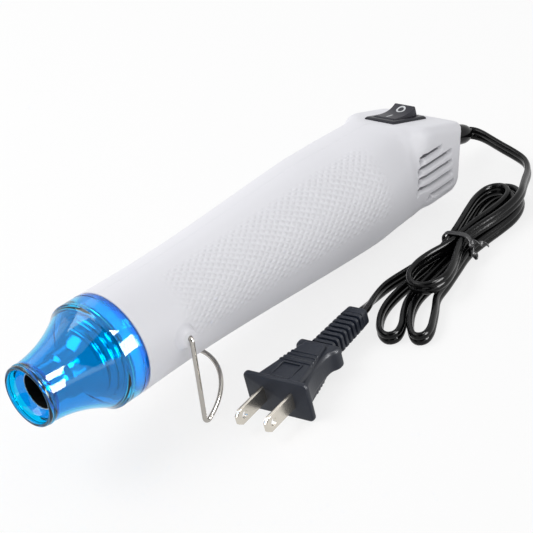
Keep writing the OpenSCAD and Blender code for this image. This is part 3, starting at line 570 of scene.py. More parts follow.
# %% Lay out the rays of one half
# The rays of a row start on the spine and aim at the points of RING; the last rows fan out to the rear.
# Each vent is given by the height of its upper lip and by where its front and rear ends are.
VENTS = [(8.5, 194.4, 209.0), (4.2, 192.7, 214.6), (-0.1, 191.8, 214.4), (-4.5, 190.2, 213.6),
         (-9.0, 196.8, 213.8)]
SPINE_END = (201.9, 5.7)
AIM_R = 24
FINE_STEP = 0.42
FAN_EVEN = 13.6
FAN_FAR = 140
DROOP_LEN = 20
top = np.radians(np.concatenate([[0, 0.7], np.linspace(2, 60, 28)]))
lip_steps = [0.3, 0.0, -0.15, -0.5, -0.95, -1.3, -1.7, -2.1, -2.5, -2.9, -3.3, -3.7]
side_z = [lip + s for lip, _, _ in VENTS for s in lip_steps] + [10.6, 10.0, 9.4, -13.2, -13.8, -14.6]
side_z.sort(reverse=True)
low = np.pi - np.radians(np.concatenate([np.linspace(54, 2, 26), [0.7, 0]]))
RING = np.concatenate([
    np.stack([AIM_R * np.sin(top), AIM_R * np.cos(top)], -1),
    np.stack([np.full(len(side_z), TAIL_HALF_WIDTH), side_z], -1),
    np.stack([AIM_R * np.sin(low), AIM_R * np.cos(low)], -1)])
row_x = np.concatenate([
    [39.12, 39.5], np.arange(40.5, 50, 1.4), np.arange(50.4, 63.6, 0.36), np.arange(64.5, 186, 2.0),
    np.arange(187, 190, 0.8), np.arange(190.2, 201.6, FINE_STEP)])
fan_growing = FAN_EVEN * (FAN_FAR / FAN_EVEN) ** (np.arange(1, 31) / 30)
fan_s = np.concatenate([np.arange(0, FAN_EVEN, FINE_STEP), fan_growing])
spine_z = SPINE_END[1] * ramp(row_x, (GRIP_X, SPINE_END[0] - GRIP_X))
origin = np.concatenate([
    np.stack([row_x, 0 * row_x, spine_z], -1),
    np.broadcast_to([SPINE_END[0], 0, SPINE_END[1]], (len(fan_s), 3))])
lift = np.concatenate([spine_z, np.full(len(fan_s), SPINE_END[1])])
back = np.concatenate([0 * row_x, fan_s])
droop = SLOPE * np.concatenate([0 * row_x, ramp(fan_s, (FAN_EVEN, DROOP_LEN))])
way = unit(np.stack(np.broadcast_arrays(
    (back * np.cos(droop))[:, None], RING[:, 0], RING[:, 1] - (lift + back * np.sin(droop))[:, None]), -1))
print("rays of one half:", way.shape[:2])

# %% Cast the outer and inner wall, then shape vents and hinge bosses
VENT_DEPTH = 2.6
VENT_CORNER = 3
VENT_LIP = 0.16
VENT_REACH = 3.1
VENT_CURVE = 1.15
VENT_END = 1.4
VENT_FADE = (2.4, 1.5)
BOSS_FLAT = 2.9
BOSS_ROLL = 2.1
SIDE_FROM = 14
SIDE_BLEND = 4
SEAM = [0, -1]
SEAM_GROOVE = 0.12
RAY_SPAN = (3.0, 46.0)
RAY_ROUNDS = 30
SIDE_SPAN = (0.0, 30.0)
SIDE_ROUNDS = 26


def cast(start, way, offset):
    """The point of each ray where housing_distance is -offset."""
    near, far = halved(lambda d: start + d[..., None] * way, way.shape[:-1], RAY_SPAN, RAY_ROUNDS, offset)
    return start + ((near + far) / 2)[..., None] * way


def vent_inset(x, z):
    """Depth of the five scooped slots: deepest under the sharp upper lip and behind the front end, then
    sloping out within 3 mm. Each front end hooks down round a 3 mm corner."""
    depth = np.zeros(np.broadcast(x, z).shape)
    for lip, front, rear in VENTS:
        down, behind = lip - z, x - front
        corner = VENT_CORNER - np.hypot(VENT_CORNER - down, VENT_CORNER - behind)
        in_corner = (down < VENT_CORNER) & (behind < VENT_CORNER)
        inside = np.where(in_corner, corner, np.minimum(down, behind))
        bowl = ease(inside / VENT_LIP) * np.clip(1 - inside / VENT_REACH, 0, 1) ** VENT_CURVE
        ends = ease((rear - x) / VENT_END) * (1 - ramp(down, VENT_FADE))
        depth = np.maximum(depth, VENT_DEPTH * bowl * ends)
    return depth


def boss_rise(x, z):
    """Height of the round boss over the hinge hole: flat in the middle, rolled off to the wall at 5 mm."""
    reach = np.hypot(x - HINGE_AT[0], z - HINGE_AT[1])
    return BOSS_OUT * (1 - ramp(reach, (BOSS_FLAT, BOSS_ROLL)))


def side_wall(x, z, offset):
    """The wall's place out along y over a point in x and z, with the boss on it."""
    near, _ = halved(lambda y: np.stack([x, y, z], -1), x.shape, SIDE_SPAN, SIDE_ROUNDS, offset)
    return near + boss_rise(x, z)


outer = cast(origin[:, None], way, 0.0)
inner = cast(origin[:, None], way, SHELL_WALL)
for wall in (outer, inner):
    x, z = wall[..., 0].copy(), wall[..., 2].copy()
    side = ramp(np.abs(wall[..., 1]), (SIDE_FROM, SIDE_BLEND))
    wall[..., 1] += side * (boss_rise(x, z) - vent_inset(x, z))
    wall[:, SEAM, 1] = 0
outer[:, SEAM, 2] -= SEAM_GROOVE * np.sign(outer[:, SEAM, 2] - 2)

# %% Add the plain rings in front
FRONT_OUT = np.array([(32.5, 16.0), (32.5, 19.1), (32.7, 19.3), (38.9, 19.3), (38.95, 20.6), (39.03, 20.75)])
FRONT_IN = np.array([(34.5, 16.0), (35.5, 16.0), (37.5, 16.0), (39.5, 16.0), (40.5, 16.2), (41.2, 17.2)])
INNER_START = 41.6
INNER_STEP = 0.05
INNER_ROWS = 40
INNER_END = 44
turn = np.arctan2(outer[0, :, 1], outer[0, :, 2])


def front_rows(profile):
    """The first rows are plain rings: x and radius from the profile, angle from the first cast row."""
    x = np.broadcast_to(profile[:, :1], (len(profile), len(turn)))
    return np.stack([x, profile[:, 1:] * np.sin(turn), profile[:, 1:] * np.cos(turn)], -1)


# The inner wall's first rows are spread out behind the rings, so that none of them folds back
row = np.arange(len(inner))[:, None].clip(0, INNER_ROWS)
near_front = inner[:, :, 0] < INNER_END
inner[:, :, 0] = np.maximum(inner[:, :, 0], INNER_START + INNER_STEP * row * near_front)
outer = np.concatenate([front_rows(FRONT_OUT), outer])
inner = np.concatenate([front_rows(FRONT_IN), inner])
ROWS, COLUMNS = outer.shape[:2]
print("one half:", ROWS, "rows of", COLUMNS)

# %% [markdown]
# Round holes do not fit a grid. So the quads near a hole's centre are taken out, and a strip of quads
# leads from the ragged rim to a true circle, whose points lie at the same angles. Both walls have the
# same faces, so one rule closes every opening: each free edge of the outer wall is joined to the same
# edge of the inner wall. The screw wells, in the right half only, end in a flat floor instead.

# %% Cut the holes and close the shells
SCREW_SPOTS = [(83, -11), (160, -15), (160, 13), (197, -17.5)]
WELL_CLEAR = 4.2
WELL_R = (2.8, 3.7)
WELL_FLOOR = (5.0, 3.8)
HINGE_CLEAR = 2.2
HINGE_R = (1.15, 1.15)
VENT_SLIT = (0.15, 1.6)
SWITCH_HOLE = (-9.6, 10.2)
SWITCH_HOLE_HALF = 6.8
ARC_R = 22


def free_edges(quads, count):
    """Directed edges that no neighbour walks the other way."""
    starts, ends = quads.ravel(), np.roll(quads, -1, axis=1).ravel()
    alone = ~np.isin(starts.astype(np.int64) * count + ends, ends.astype(np.int64) * count + starts)
    return starts[alone], ends[alone]


def punch(walls, quads, centre, clear, radii, floors=None):
    """Takes out the quads within clear of a centre in x and z, and leads each wall to its own circle.

    walls is a list of two point arrays with one face list. A ring point keeps the angle of the rim point
    that it is joined to, and lies on its own wall.
    """
    middle = walls[0][quads].mean(1)
    near = np.hypot(middle[:, 0] - centre[0], middle[:, 2] - centre[1]) < clear
    near &= np.abs(middle[:, 1]) > 5
    before = set(zip(*[e.tolist() for e in free_edges(quads, len(walls[0]))]))
    kept = quads[~near]
    starts, ends = free_edges(kept, len(walls[0]))
    new = np.array([(a, b) not in before for a, b in zip(starts.tolist(), ends.tolist())])
    starts, ends = starts[new], ends[new]
    ring_of = {int(a): len(walls[0]) + k for k, a in enumerate(starts)}
    count = len(starts)
    ring_a = np.array([ring_of[int(a)] for a in starts])
    ring_b = np.array([ring_of[int(b)] for b in ends])
    faces = [kept, np.stack([ends, starts, ring_a, ring_b], -1)]
    grown = []
    for k, wall in enumerate(walls):
        rim = wall[starts]
        angle = np.arctan2(rim[:, 2] - centre[1], rim[:, 0] - centre[0])
        circle_x = centre[0] + radii[k] * np.cos(angle)
        circle_z = centre[1] + radii[k] * np.sin(angle)
        rings = [np.stack([circle_x, side_wall(circle_x, circle_z, SHELL_WALL * k), circle_z], -1)]
        if floors:
            rings.append(np.stack([circle_x, np.full(count, floors[k]), circle_z], -1))
            rings.append(np.array([[centre[0], floors[k], centre[1]]]))
        grown.append(np.concatenate([wall, *rings]))
    if floors:
        faces.append(np.stack([ring_b, ring_a, ring_a + count, ring_b + count], -1))
        hub = np.full(count, len(grown[0]) - 1)
        faces.append(np.stack([ring_b + count, ring_a + count, hub, hub], -1))
    return grown, np.concatenate(faces)


def closed_shell(outer_points, inner_points, quads):
    """Outer wall, inner wall turned over, and a quad from each free edge to its double."""
    count = len(outer_points)
    starts, ends = free_edges(quads, count)
    rim = np.stack([ends, starts, starts + count, ends + count], -1)
    return np.concatenate([outer_points, inner_points]), np.concatenate([quads, quads[:, ::-1] + count, rim])


def housing_half(side):
    """side is -1 for the left half and 1 for the right one, which also has the screw wells."""
    quads = grid_quads(ROWS, COLUMNS, wrap=False)
    walls = [outer.reshape(-1, 3).copy(), inner.reshape(-1, 3).copy()]
    x, y, z = walls[0][quads].mean(1).T
    slit = np.zeros(len(quads), bool)
    for lip, front, rear in VENTS:
        down = lip - z
        slit |= ((down > VENT_SLIT[0]) & (down < VENT_SLIT[1])
                 & (x > front + 2.2) & (x < rear - 1.6) & (y > 12))
    u, _ = slope_frame(x, z)
    slit |= (u > SWITCH_HOLE[0]) & (u < SWITCH_HOLE[1]) & (y < SWITCH_HOLE_HALF) & (z > 8)
    walls, quads = punch(walls, quads[~slit], HINGE_AT, HINGE_CLEAR, HINGE_R)
    if side > 0:
        for spot in SCREW_SPOTS:
            walls, quads = punch(walls, quads, spot, WELL_CLEAR, WELL_R, floors=WELL_FLOOR)
    points, quads = closed_shell(*walls, quads)
    arc = np.arctan2(points[:, 2], np.abs(points[:, 1])) * ARC_R
    uv = np.stack([points[:, 0] / 10, arc / 10], -1)
    # Painted shade in the vents: how deep each point lies in a scoop, from 0 on the wall to 1 at its deepest
    shade = vent_inset(points[:, 0], points[:, 2]) / VENT_DEPTH * (np.abs(points[:, 1]) > SIDE_FROM)
    points[:, 1] *= side
    front_fan, back_fan = quads[:, 2] == quads[:, 3], quads[:, 0] == quads[:, 1]
    fans = np.concatenate([quads[front_fan][:, :3], quads[back_fan][:, 1:]])
    return rested(points), [quads[~front_fan & ~back_fan], fans], uv, shade


# %% Finish and build the halves
PAD_LONG = 0.385
PAD_WIDE = 0.268
PAD_HEIGHT = 0.00022


def shell_finish():
    """White satin moulding. Where the hand holds it, small raised diamonds stand in crossed grooves.

    With u along and v around the grip in centimetres, the grooves are where u / PAD_LONG + v / PAD_WIDE
    and u / PAD_LONG - v / PAD_WIDE are whole numbers.
    """
    finish = Finish("white_shell", Specular_IOR_Level=0.25)

    def from_groove(line):
        """How far a number is from the nearest whole one, which is a groove's middle."""
        return 0.5 - abs((line + 100.0).math("FRACT") - 0.5)

    u, v = finish.along()
    first = from_groove(u * (1 / PAD_LONG) + v * (1 / PAD_WIDE))
    second = from_groove(u * (1 / PAD_LONG) - v * (1 / PAD_WIDE))
    pads = first.step(0.0, 0.42) * second.step(0.0, 0.42)
    zone = u.step(5.6, 6.6) * u.step(17.6, 16.6) * v.step(-0.7, -0.2) * v.step(2.7, 2.3)
    grain = finish.noise(1400.0, 2.0)
    cloud = finish.noise(35.0, 3.0)
    finish.bump(pads * zone + grain * 0.04, PAD_HEIGHT)
    tone = finish.blend(cloud, (0.76, 0.76, 0.80), (0.80, 0.80, 0.84))
    # Painted shade: the vents' scoops are coloured darker towards their deep part under the lip
    shade = finish.node("ShaderNodeAttribute", {"attribute_name": "shade"}, out="Fac")
    tone = finish.blend(shade * 0.8, tone, (0.12, 0.12, 0.14))
    return finish.paint(tone, Roughness=cloud * 0.08 + 0.48 + grain * 0.04)


white_shell = shell_finish()
for side, name in ((-1, "left"), (1, "right")):
    points, faces, uv, shade = housing_half(side)
    shell = build(name + "_shell", points, *faces, uv=uv, sharp=32, material=white_shell)
    # The shade layer carries the vents' painted shade into the shell's colour
    painted_shade_layer = shell.data.attributes.new("shade", "FLOAT", "POINT")
    painted_shade_layer.data.foreach_set("value", shade.astype(np.float32))
    dress(shell, "housing", "housing", name + "_housing")

# %% [markdown]
# ## Guard and nozzle
# The guard is one clear blue moulding: a thin flared bell, a web behind the mouth that carries the metal
# nozzle's tip, and a plain band over the housing's front. The nozzle is spun from sheet, with rolled
# beads. Both are lathed shapes, so one profile of radius and place, turned round the axis, is exact,
# and lets every lip be rounded on purpose. The inside of the nozzle is darkened by heat.

# %% Turn the guard
FLARE_POWER = 2.1


def bell_r(x):
    """Bell radius: a power curve from the mouth to the shoulder."""
    return MOUTH_R + (BAND_R - 0.2 - MOUTH_R) * (x / SHOULDER_X) ** FLARE_POWER


bell_out = [(bell_r(x), x) for x in np.linspace(3.0, 29.2, 26)]
bell_in = [(bell_r(x) - GUARD_WALL, x) for x in np.linspace(28.6, 3.9, 24)]
guard_profile = (
    [(10.5, 0.3), (10.75, 0.08), (11.1, 0), (11.45, 0.08), (11.72, 0.35), (11.8, 0.8), (11.82, 1.4),
     (11.7, 1.6), (11.7, 1.75), (11.9, 1.95), (12.05, 2.15), (12.05, 2.4), (11.92, 2.65)] + bell_out
    + [(20.75, 29.4), (20.8, 29.7), (20.8, 36.0), (20.6, 36.15), (20.6, 36.4), (20.8, 36.55), (20.8, 38.4),
       (20.65, 38.7), (20.3, 38.8), (19.45, 38.8), (19.4, 38.5), (19.4, 31.6), (18.8, 31.5), (18.8, 29.9)]
    + bell_in + [(10.35, 3.7), (10.1, 4.1), (9.75, 4.9), (9.2, 5.6), (8.5, 6.2), (7.8, 6.5), (7.55, 6.4),
                 (7.52, 6.1), (7.65, 5.75), (8.3, 5.1), (9.0, 4.4), (9.6, 3.5), (10.05, 2.5), (10.35, 1.4),
                 (10.45, 0.6)])
blue = Finish("clear_blue", Transmission_Weight=1.0, IOR=1.45, Specular_IOR_Level=0.12)
blue_cloud = blue.noise(45.0, 2.0)
blue_u, _ = blue.along()
# Painted shade: the lip at the mouth and the rear end of the band are coloured a darker blue, for the dark
# look of the clear plastic's thick edges
painted_rim_shade = blue_u.step(0.2, 0.05) + blue_u.step(3.6, 3.68)
blue.bump(blue.noise(300.0, 2.0), 0.00002)
blue_tone = blue.blend(blue_cloud, (0.0, 0.48, 0.88), (0.002, 0.54, 0.92))
blue_tone = blue.blend(painted_rim_shade, blue_tone, (0.0, 0.33, 0.74))
blue_paint = blue.paint(blue_tone, Roughness=blue_cloud * 0.02 + 0.01)
guard = revolved("guard_bell", guard_profile, [x / 10 for _, x in guard_profile], sides=176, sharp=50,
                 material=blue_paint)
dress(guard, "housing", "guard", "nozzle_guard")

# %% Turn the nozzle
nozzle_out = [(7.1, 5.05), (7.35, 5.0), (7.5, 5.2), (7.5, 13), (7.7, 13.6), (8.6, 14.7), (8.8, 15.2),
              (9, 20), (9.3, 20.6), (12.3, 23.9), (12.6, 24.2), (13.1, 24.35), (13.5, 24.7), (13.65, 25.3),
              (13.5, 25.9), (13.1, 26.2), (13.1, 26.4), (14.5, 27.1), (14.8, 27.3), (15.2, 27.6),
              (15.35, 28.2), (15.2, 28.8), (14.85, 29.2), (15, 29.5), (15.9, 30.4), (16, 31.4), (18.3, 31.7),
              (18.6, 31.8),
              (18.6, 32.4), (18.4, 32.5), (15.9, 32.6), (15.9, 45.8), (15.8, 46)]
nozzle_in = [(15.4, 46), (15.35, 31.2), (14.3, 29.8), (14.1, 28.6), (12.7, 26.9), (12.1, 24.6), (8.5, 20.6),
             (8.35, 15.4), (7.05, 13.4), (7.0, 12.5), (7.0, 5.4)]
steel = Finish("polished_nozzle", Metallic=1.0)
inside, _ = steel.along()
soot = inside.step(0.2, 0.8)
haze = steel.noise(80.0, 3.0)
steel.bump(steel.noise(500.0, 3.0), 0.00003)
heat = steel.blend(haze, (0.62, 0.60, 0.58), (0.72, 0.70, 0.67))
steel_tone = steel.blend(soot, heat, (0.02, 0.018, 0.016))
steel_paint = steel.paint(steel_tone, Roughness=haze * 0.1 + 0.12 + soot * 0.5)
nozzle = revolved("nozzle_spun", nozzle_out + nozzle_in, [0] * len(nozzle_out) + [1] * len(nozzle_in),
                  sharp=40, material=steel_paint)
dress(nozzle, "housing", "nozzle", "nozzle_tube")

# %% [markdown]
# ## Lofted pieces
# The switch, the rocker and the plug are moulded blocks whose cross-section is a rectangle with round
# corners that changes along one axis. A loft keeps the number of points on each section, so the sections
# join into one grid with a flat face at either end. A cube with a bevel could not follow the changing
# waist and would need a modifier on each piece.

# %% Loft helper
def rounded(half_a, half_b, corner, steps=5):
    """Points round a rectangle of half sizes a and b, with circular corners."""
    quarter, place = np.divmod(np.arange(4 * steps), steps)
    t = quarter * (np.pi / 2) + place * (np.pi / 2) / (steps - 1)
    sign_a = np.array([1, -1, -1, 1])[quarter]
    sign_b = np.array([1, 1, -1, -1])[quarter]
    return np.stack([sign_a * (half_a - corner) + corner * np.cos(t),
                     sign_b * (half_b - corner) + corner * np.sin(t)], -1)


def loft(name, sections, place, uv=None, **more):
    """Joins sections, each a ring of points (n, 2) and a height, and closes both ends.

    place turns the arrays of first, second and height into points of the world, uv the table of all
    three into the mesh's own coordinates.
    """
    flat = np.concatenate([np.column_stack([ring, np.full(len(ring), height)]) for ring, height in sections])
    count = len(sections[0][0])
    quads = grid_quads(len(sections), count)
    return build(name, place(*flat.T), quads, *caps(len(sections), count), uv=uv and uv(flat), **more)


# %% Build the switch
switch_black = plain("switch_black", (0.012, 0.012, 0.019), 0.34, shift=0.2, Specular_IOR_Level=0.2)
well = [(9.5, 6.5, 0.6, -11), (9.5, 6.5, 0.6, -0.1), (10.75, 7.7, 0.5, -0.1), (10.75, 7.7, 0.5, 0.4),
        (10.7, 7.65, 0.5, 0.55), (10.1, 7.05, 0.45, 1.05), (10.0, 6.95, 0.45, 1.1), (8.35, 5.55, 0.4, 1.1),
        (8.2, 5.4, 0.4, 1.02), (8.1, 5.3, 0.4, 0.8), (8.1, 5.3, 0.4, -7.8)]
switch = loft("switch_case", [(rounded(a, b, r), w) for a, b, r, w in well],
              lambda a, b, h: rested(on_slope(a, b, h)), sharp=35, material=switch_black)
dress(switch, "housing", "switch", "switch_body")
ROCK_REST = math.radians(-12)


def on_rocker(u, w, y):
    """The rocker's own frame at rest: turned by its rest angle about the hinge, then laid on the slope."""
    c, s = math.cos(ROCK_REST), math.sin(ROCK_REST)
    return rested(on_slope(u * c + w * s, y, w * c - u * s))


TOP_HALF = 6.3
top_u = np.linspace(-TOP_HALF, TOP_HALF, 31)
top_w = 2.25 + 1.15 * (top_u / TOP_HALF) ** 2 + 0.5 * (top_u / TOP_HALF) ** 3
rocker_side = np.concatenate([
    [(-7.0, -2.4), (7.0, -2.4), (7.15, -2.2), (7.68, 0.3), (7.68, 0.5), (7.15, 3.45), (7.0, 3.75),
     (6.7, 3.9)],
    np.stack([top_u, top_w], -1)[::-1],
    [(-6.8, 2.9), (-7.1, 2.75), (-7.25, 2.5), (-7.68, 0.5), (-7.68, 0.3), (-7.15, -2.2)]])
# How far the outline is drawn in, and how far out to the side, at each step of the rounded side edges
ROCKER_EDGE = [(0.25, 5.1), (0.08, 5.02), (0, 4.8)]
# The marks on the cap, in centimetres from its middle
RING_AT, RING_R = 0.39, 0.165
BAR_AT = 0.36


def shrunk(amount):
    """The rocker's outline drawn in by an amount, for the rounded side edges."""
    middle = np.array([0, 0.8])
    return middle + (rocker_side - middle) * (1 - amount / np.array([7.0, 2.6]))


slate = Finish("rocker_slate", Specular_IOR_Level=0.2)
mark_u, mark_y = slate.along()
ring_far = ((mark_u - RING_AT) ** 2 + mark_y ** 2).math("SQRT")
ring_mark = abs(ring_far - RING_R).step(0.045, 0.03)
bar_mark = abs(mark_u + BAR_AT).step(0.2, 0.18) * abs(mark_y).step(0.04, 0.025)
marks = ring_mark + bar_mark
slate_cloud = slate.noise(80.0, 3.0)
slate.bump(slate.noise(1200.0, 2.0) + marks * 0.5, 0.00004)
slate_tone = slate.blend(slate_cloud, (0.022, 0.022, 0.030), (0.030, 0.030, 0.040))
slate_tone = slate.blend(marks, slate_tone, (0.62, 0.64, 0.66))
slate_paint = slate.paint(slate_tone, Roughness=slate_cloud * 0.1 + 0.36)
rocker_rings = [(shrunk(amount), -y) for amount, y in ROCKER_EDGE]
rocker_rings += [(shrunk(amount), y) for amount, y in ROCKER_EDGE[::-1]]
rocker = loft("rocker_cap", rocker_rings, on_rocker, uv=lambda f: f[:, [0, 2]] / 10, sharp=35,
              material=slate_paint)
dress(rocker, "rocker", "switch", "switch_rocker")

# %% [markdown]
# ## Stand
# A single nickel-plated wire, bent twice at each end: its hooked ends spring into the two bosses, the
# legs go straight down, and the foot turns up into a wide bow behind. A curve object with a round bevel
# would do, but would pinch in the tight bends; here the frame that carries the circle turns with the
# bend itself, so the section stays round.

# %% Bend the stand
WIRE_R = 0.9
WIRE_SIDES = 20
BEND_R = 1.5
LEG_Y = 24.0
LEG_LEN = 34.0
LEG_LEAN = math.radians(3)
BOW_RISE = math.radians(30)
quarter = np.radians(np.linspace(0, 90, 9))
hook_y = np.concatenate([[17.1, 19.0, 21.0], LEG_Y - BEND_R + BEND_R * np.sin(quarter)])
hook_z = np.concatenate([[0, 0, 0], BEND_R * np.cos(quarter) - BEND_R])
leg_z = np.linspace(-BEND_R, BEND_R - LEG_LEN, 14)[1:]
foot = np.linspace(0, np.pi / 2 + BOW_RISE, 15)[1:]
bow = np.radians(np.linspace(90, 0, 46)[1:])
bow_normal = np.array([-math.sin(BOW_RISE), 0, math.cos(BOW_RISE)])
foot_end = (BEND_R - BEND_R * math.cos(foot[-1]), BEND_R - LEG_LEN - BEND_R * math.sin(foot[-1]))
half_wire = np.concatenate([
    np.stack([0 * hook_y, hook_y, hook_z], -1),
    np.stack([0 * leg_z, 0 * leg_z + LEG_Y, leg_z], -1),
    np.stack([BEND_R - BEND_R * np.cos(foot), 0 * foot + LEG_Y,
              BEND_R - LEG_LEN - BEND_R * np.sin(foot)], -1),
    np.stack([foot_end[0] + LEG_Y * np.cos(bow) * math.cos(BOW_RISE), LEG_Y * np.sin(bow),
              foot_end[1] + LEG_Y * np.cos(bow) * math.sin(BOW_RISE)], -1)])
half_wide = np.concatenate([
    np.tile([1.0, 0, 0], (len(hook_y) + len(leg_z), 1)),
    np.stack([np.cos(foot), 0 * foot, np.sin(foot)], -1),
    np.tile(bow_normal, (len(bow), 1))])
mirror = np.array([1, -1, 1])
wire_path = np.concatenate([half_wire, half_wire[-2::-1] * mirror])
wire_wide = np.concatenate([half_wide, half_wide[-2::-1]])


def leaned(p):
    """The stand's own frame, leaned about its hinge."""
    c, s = math.cos(LEG_LEAN), math.sin(LEG_LEAN)
    return np.stack([p[:, 0] * c + p[:, 2] * s, p[:, 1], p[:, 2] * c - p[:, 0] * s], -1)


wire_rings = len(wire_path)
wire_points = leaned(carried(wire_path, wire_wide, circle(WIRE_R, WIRE_SIDES)))
wire_points = rested(wire_points + [HINGE_AT[0], 0, HINGE_AT[1]])
nickel = plain("nickel_wire", (0.44, 0.42, 0.39), 0.2, grain=700.0, depth=0.00002, shift=0.06, metallic=1.0)
stand = build("stand_wire", wire_points, grid_quads(wire_rings, WIRE_SIDES), *caps(wire_rings, WIRE_SIDES),
              material=nickel)
dress(stand, "stand", "wire", "wire_stand")

# %% [markdown]
# ## Strain relief, tie and plug
# The boot and the plug are soft and hard mouldings round the lead. The boot is a body of revolution with
# two swellings. The plug has a flange, hollow flanks, finger lugs and a raised field with a blank framed
# panel; its relief is cut into ribs so that it bends. All are lofts along the lead. The tie is a flat
# twist tie: a closed ribbon round the bundle and two ends twisted over one another.

# %% Build the boot and the tie
BOOT_DROP = 12.0
boot_line = [(4.9, 12.3), (5.2, 12.6), (5.2, 14.3), (4.0, 14.45), (4.0, 16.55), (5.0, 16.6), (5.2, 16.8),
             (5.25, 18), (5.15, 19.4), (4.75, 20.8), (4.1, 22.4), (3.55, 24.4), (3.3, 27), (3.15, 31),
             (3.1, 35), (3.2, 38), (3.6, 40.5), (4.1, 42.6), (4.35, 44.6), (4.3, 46.6), (3.9, 48.4),
             (3.3, 49.8), (2.9, 50.4)]
boot_black = plain("boot_black", (0.003, 0.003, 0.0034), 0.16, grain=500.0, shift=0.25,
                   Specular_IOR_Level=0.22)
boot = loft("boot_relief", [(circle(r, 48), u) for r, u in boot_line],
            lambda a, b, h: rested(on_slope(h, a, b - BOOT_DROP)), sharp=50, material=boot_black)
dress(boot, "housing", "boot", "strain_relief")
TIE_AT = -9.0
TIE_MIDDLE = (1.5, 5.85)
TIE_HALF = (6.1, 5.5)
TIE_SIDES = 64
TIE_BOXY = 0.55
TIE_TWIST = 6.3
tie_turn = turns(TIE_SIDES)
tie_q = TIE_MIDDLE[0] + TIE_HALF[0] * squared_up(np.cos(tie_turn), TIE_BOXY)
tie_z = TIE_MIDDLE[1] + TIE_HALF[1] * squared_up(np.sin(tie_turn), TIE_BOXY)
ribbon = rounded(1.15, 0.35, 0.3, steps=4)
tie_centre = in_hank(np.stack([0 * tie_q + TIE_AT, tie_q, tie_z], -1))
ahead, here = in_hank([(1, 0, 0), (0, 0, 0)])
hank_axis = unit(ahead - here)
around = unit(np.roll(tie_centre, -1, axis=0) - np.roll(tie_centre, 1, axis=0))
outward = np.cross(around, hank_axis)
tie_points = tie_centre[:, None] + ribbon[:, :1] * hank_axis + ribbon[:, 1:] * outward[:, None]
tie_black = plain("tie_black", (0.016, 0.016, 0.018), 0.42, shift=0.25)
tie = build("tie_band", tie_points * MM, grid_quads(TIE_SIDES, len(ribbon), close=True), material=tie_black)
dress(tie, "housing", "tie", "hank_tie")
for number, reach, start in ((1, (4.5, -5.2, -3.6), 0.0), (2, (-3.8, -4.2, -5), 1.6)):
    s = np.linspace(0, 1, 40)
    tail = in_hank(np.stack([TIE_AT + reach[0] * s, -4.2 + reach[1] * s,
                             8 + reach[2] * s + 2 * s * (1 - s)], -1))
    wide = rolled(tail, start + TIE_TWIST * s)
    piece = tube(f"tie_end_{number}", tail * MM, wide, ribbon * MM, material=tie_black)
    dress(piece, "housing", "tie")

# %% Build the plug
PLUG_AT = (-42.0, -47.0)
PLUG_TURN = math.radians(6)
PLUG_MIDDLE = 8.0
PLUG_LEN = 29.0
RELIEF_LEN = 25.0


def in_plug(across, up, along):
    """The plug's frame: along its axis from the face to the lead, across, and up from its middle."""
    c, s = math.cos(PLUG_TURN), math.sin(PLUG_TURN)
    return np.stack([PLUG_AT[0] + along * c - across * s, PLUG_AT[1] + along * s + across * c,
                     PLUG_MIDDLE + up], -1) * MM


plug_grey = plain("plug_grey", (0.009, 0.013, 0.024), 0.4, shift=0.18, Specular_IOR_Level=0.3)
# Half width, half height, corner and place of each section
base = [(13.5, 7.5, 1.4, 0), (13.85, 7.85, 1.7, 0.15), (14, 8, 1.8, 0.5), (14, 8, 1.8, 1.6),
        (13.85, 7.85, 1.7, 1.9), (13.4, 7.4, 1.4, 2.05), (12.2, 5.2, 1.2, 2.1), (12.0, 4.9, 1.2, 2.5),
        (11.4, 4.8, 1.2, 3.6)]
flank_x = [5, 7, 9, 12, 15, 18, 20, 22, 23.4, 24.6, 25.4, 26.2, 27, 28.2, 28.7, 29]
flank_half = [10.7, 9.8, 9.0, 8.2, 7.75, 7.45, 7.3, 7.3, 7.5, 8.0, 8.7, 9.1, 9.25, 9.25, 9.1, 8.7]
flank_up = [4.75, 4.7, 4.6, 4.5, 4.45] + [4.4] * 9 + [4.3, 4.0]
flanks = [(w, h, 1.6, x) for x, w, h in zip(flank_x, flank_half, flank_up)]
plug = loft("plug_moulding", [(rounded(w, h, r), x) for w, h, r, x in base + flanks], in_plug, sharp=42,
            material=plug_grey)
dress(plug, "housing", "plug", "plug_body")
RIDGE_UP = 0.38
RIDGE_PITCH = 1.9
field_x = np.concatenate([[1.9, 2.6], np.arange(3.2, 12, 1.6), np.arange(12.6, 20.6, 0.18),
                          np.arange(21, 27.8, 0.9)])
ridges = RIDGE_UP * ease((np.cos((field_x - 13.6) * 2 * np.pi / RIDGE_PITCH) - 0.1) / 0.6)
ridges = ridges * (field_x > 12.7) * (field_x < 20.2)
field_end = np.clip(field_x - 26.4, 0, 1.2)
field_up = 6.95 - 0.045 * field_x - field_end * 0.8
field_half = 9.9 - 0.2 * field_x - field_end * 0.5
field_rings = [(rounded(w, h, 0.9), x) for w, h, x in zip(field_half, field_up + ridges, field_x)]
plug_field = loft("plug_field", field_rings, in_plug, sharp=38, material=plug_grey)
dress(plug_field, "housing", "plug")
PANEL_HALF = 4.6
PANEL_AT = 7.7
frame_rows = [(PANEL_HALF, 5.5), (4.55, 6.9), (4.35, 7.05), (4.0, 7.05), (3.85, 6.9), (3.8, 5.5)]
panel_rings = np.concatenate([np.column_stack([rounded(h, h, 0.7 * h / PANEL_HALF), np.full(20, up)])
                              for h, up in frame_rows])
for side, name in ((1, "plug_panel_top"), (-1, "plug_panel_under")):
    spot = in_plug(panel_rings[:, 0], side * panel_rings[:, 2], panel_rings[:, 1] + PANEL_AT)
    piece = build(name, spot, grid_quads(len(frame_rows), 20, close=True), sharp=40, material=plug_grey)
    dress(piece, "housing", "plug")

# %% Rib the plug's relief
RIBS = 8
COLLAR = 3.6
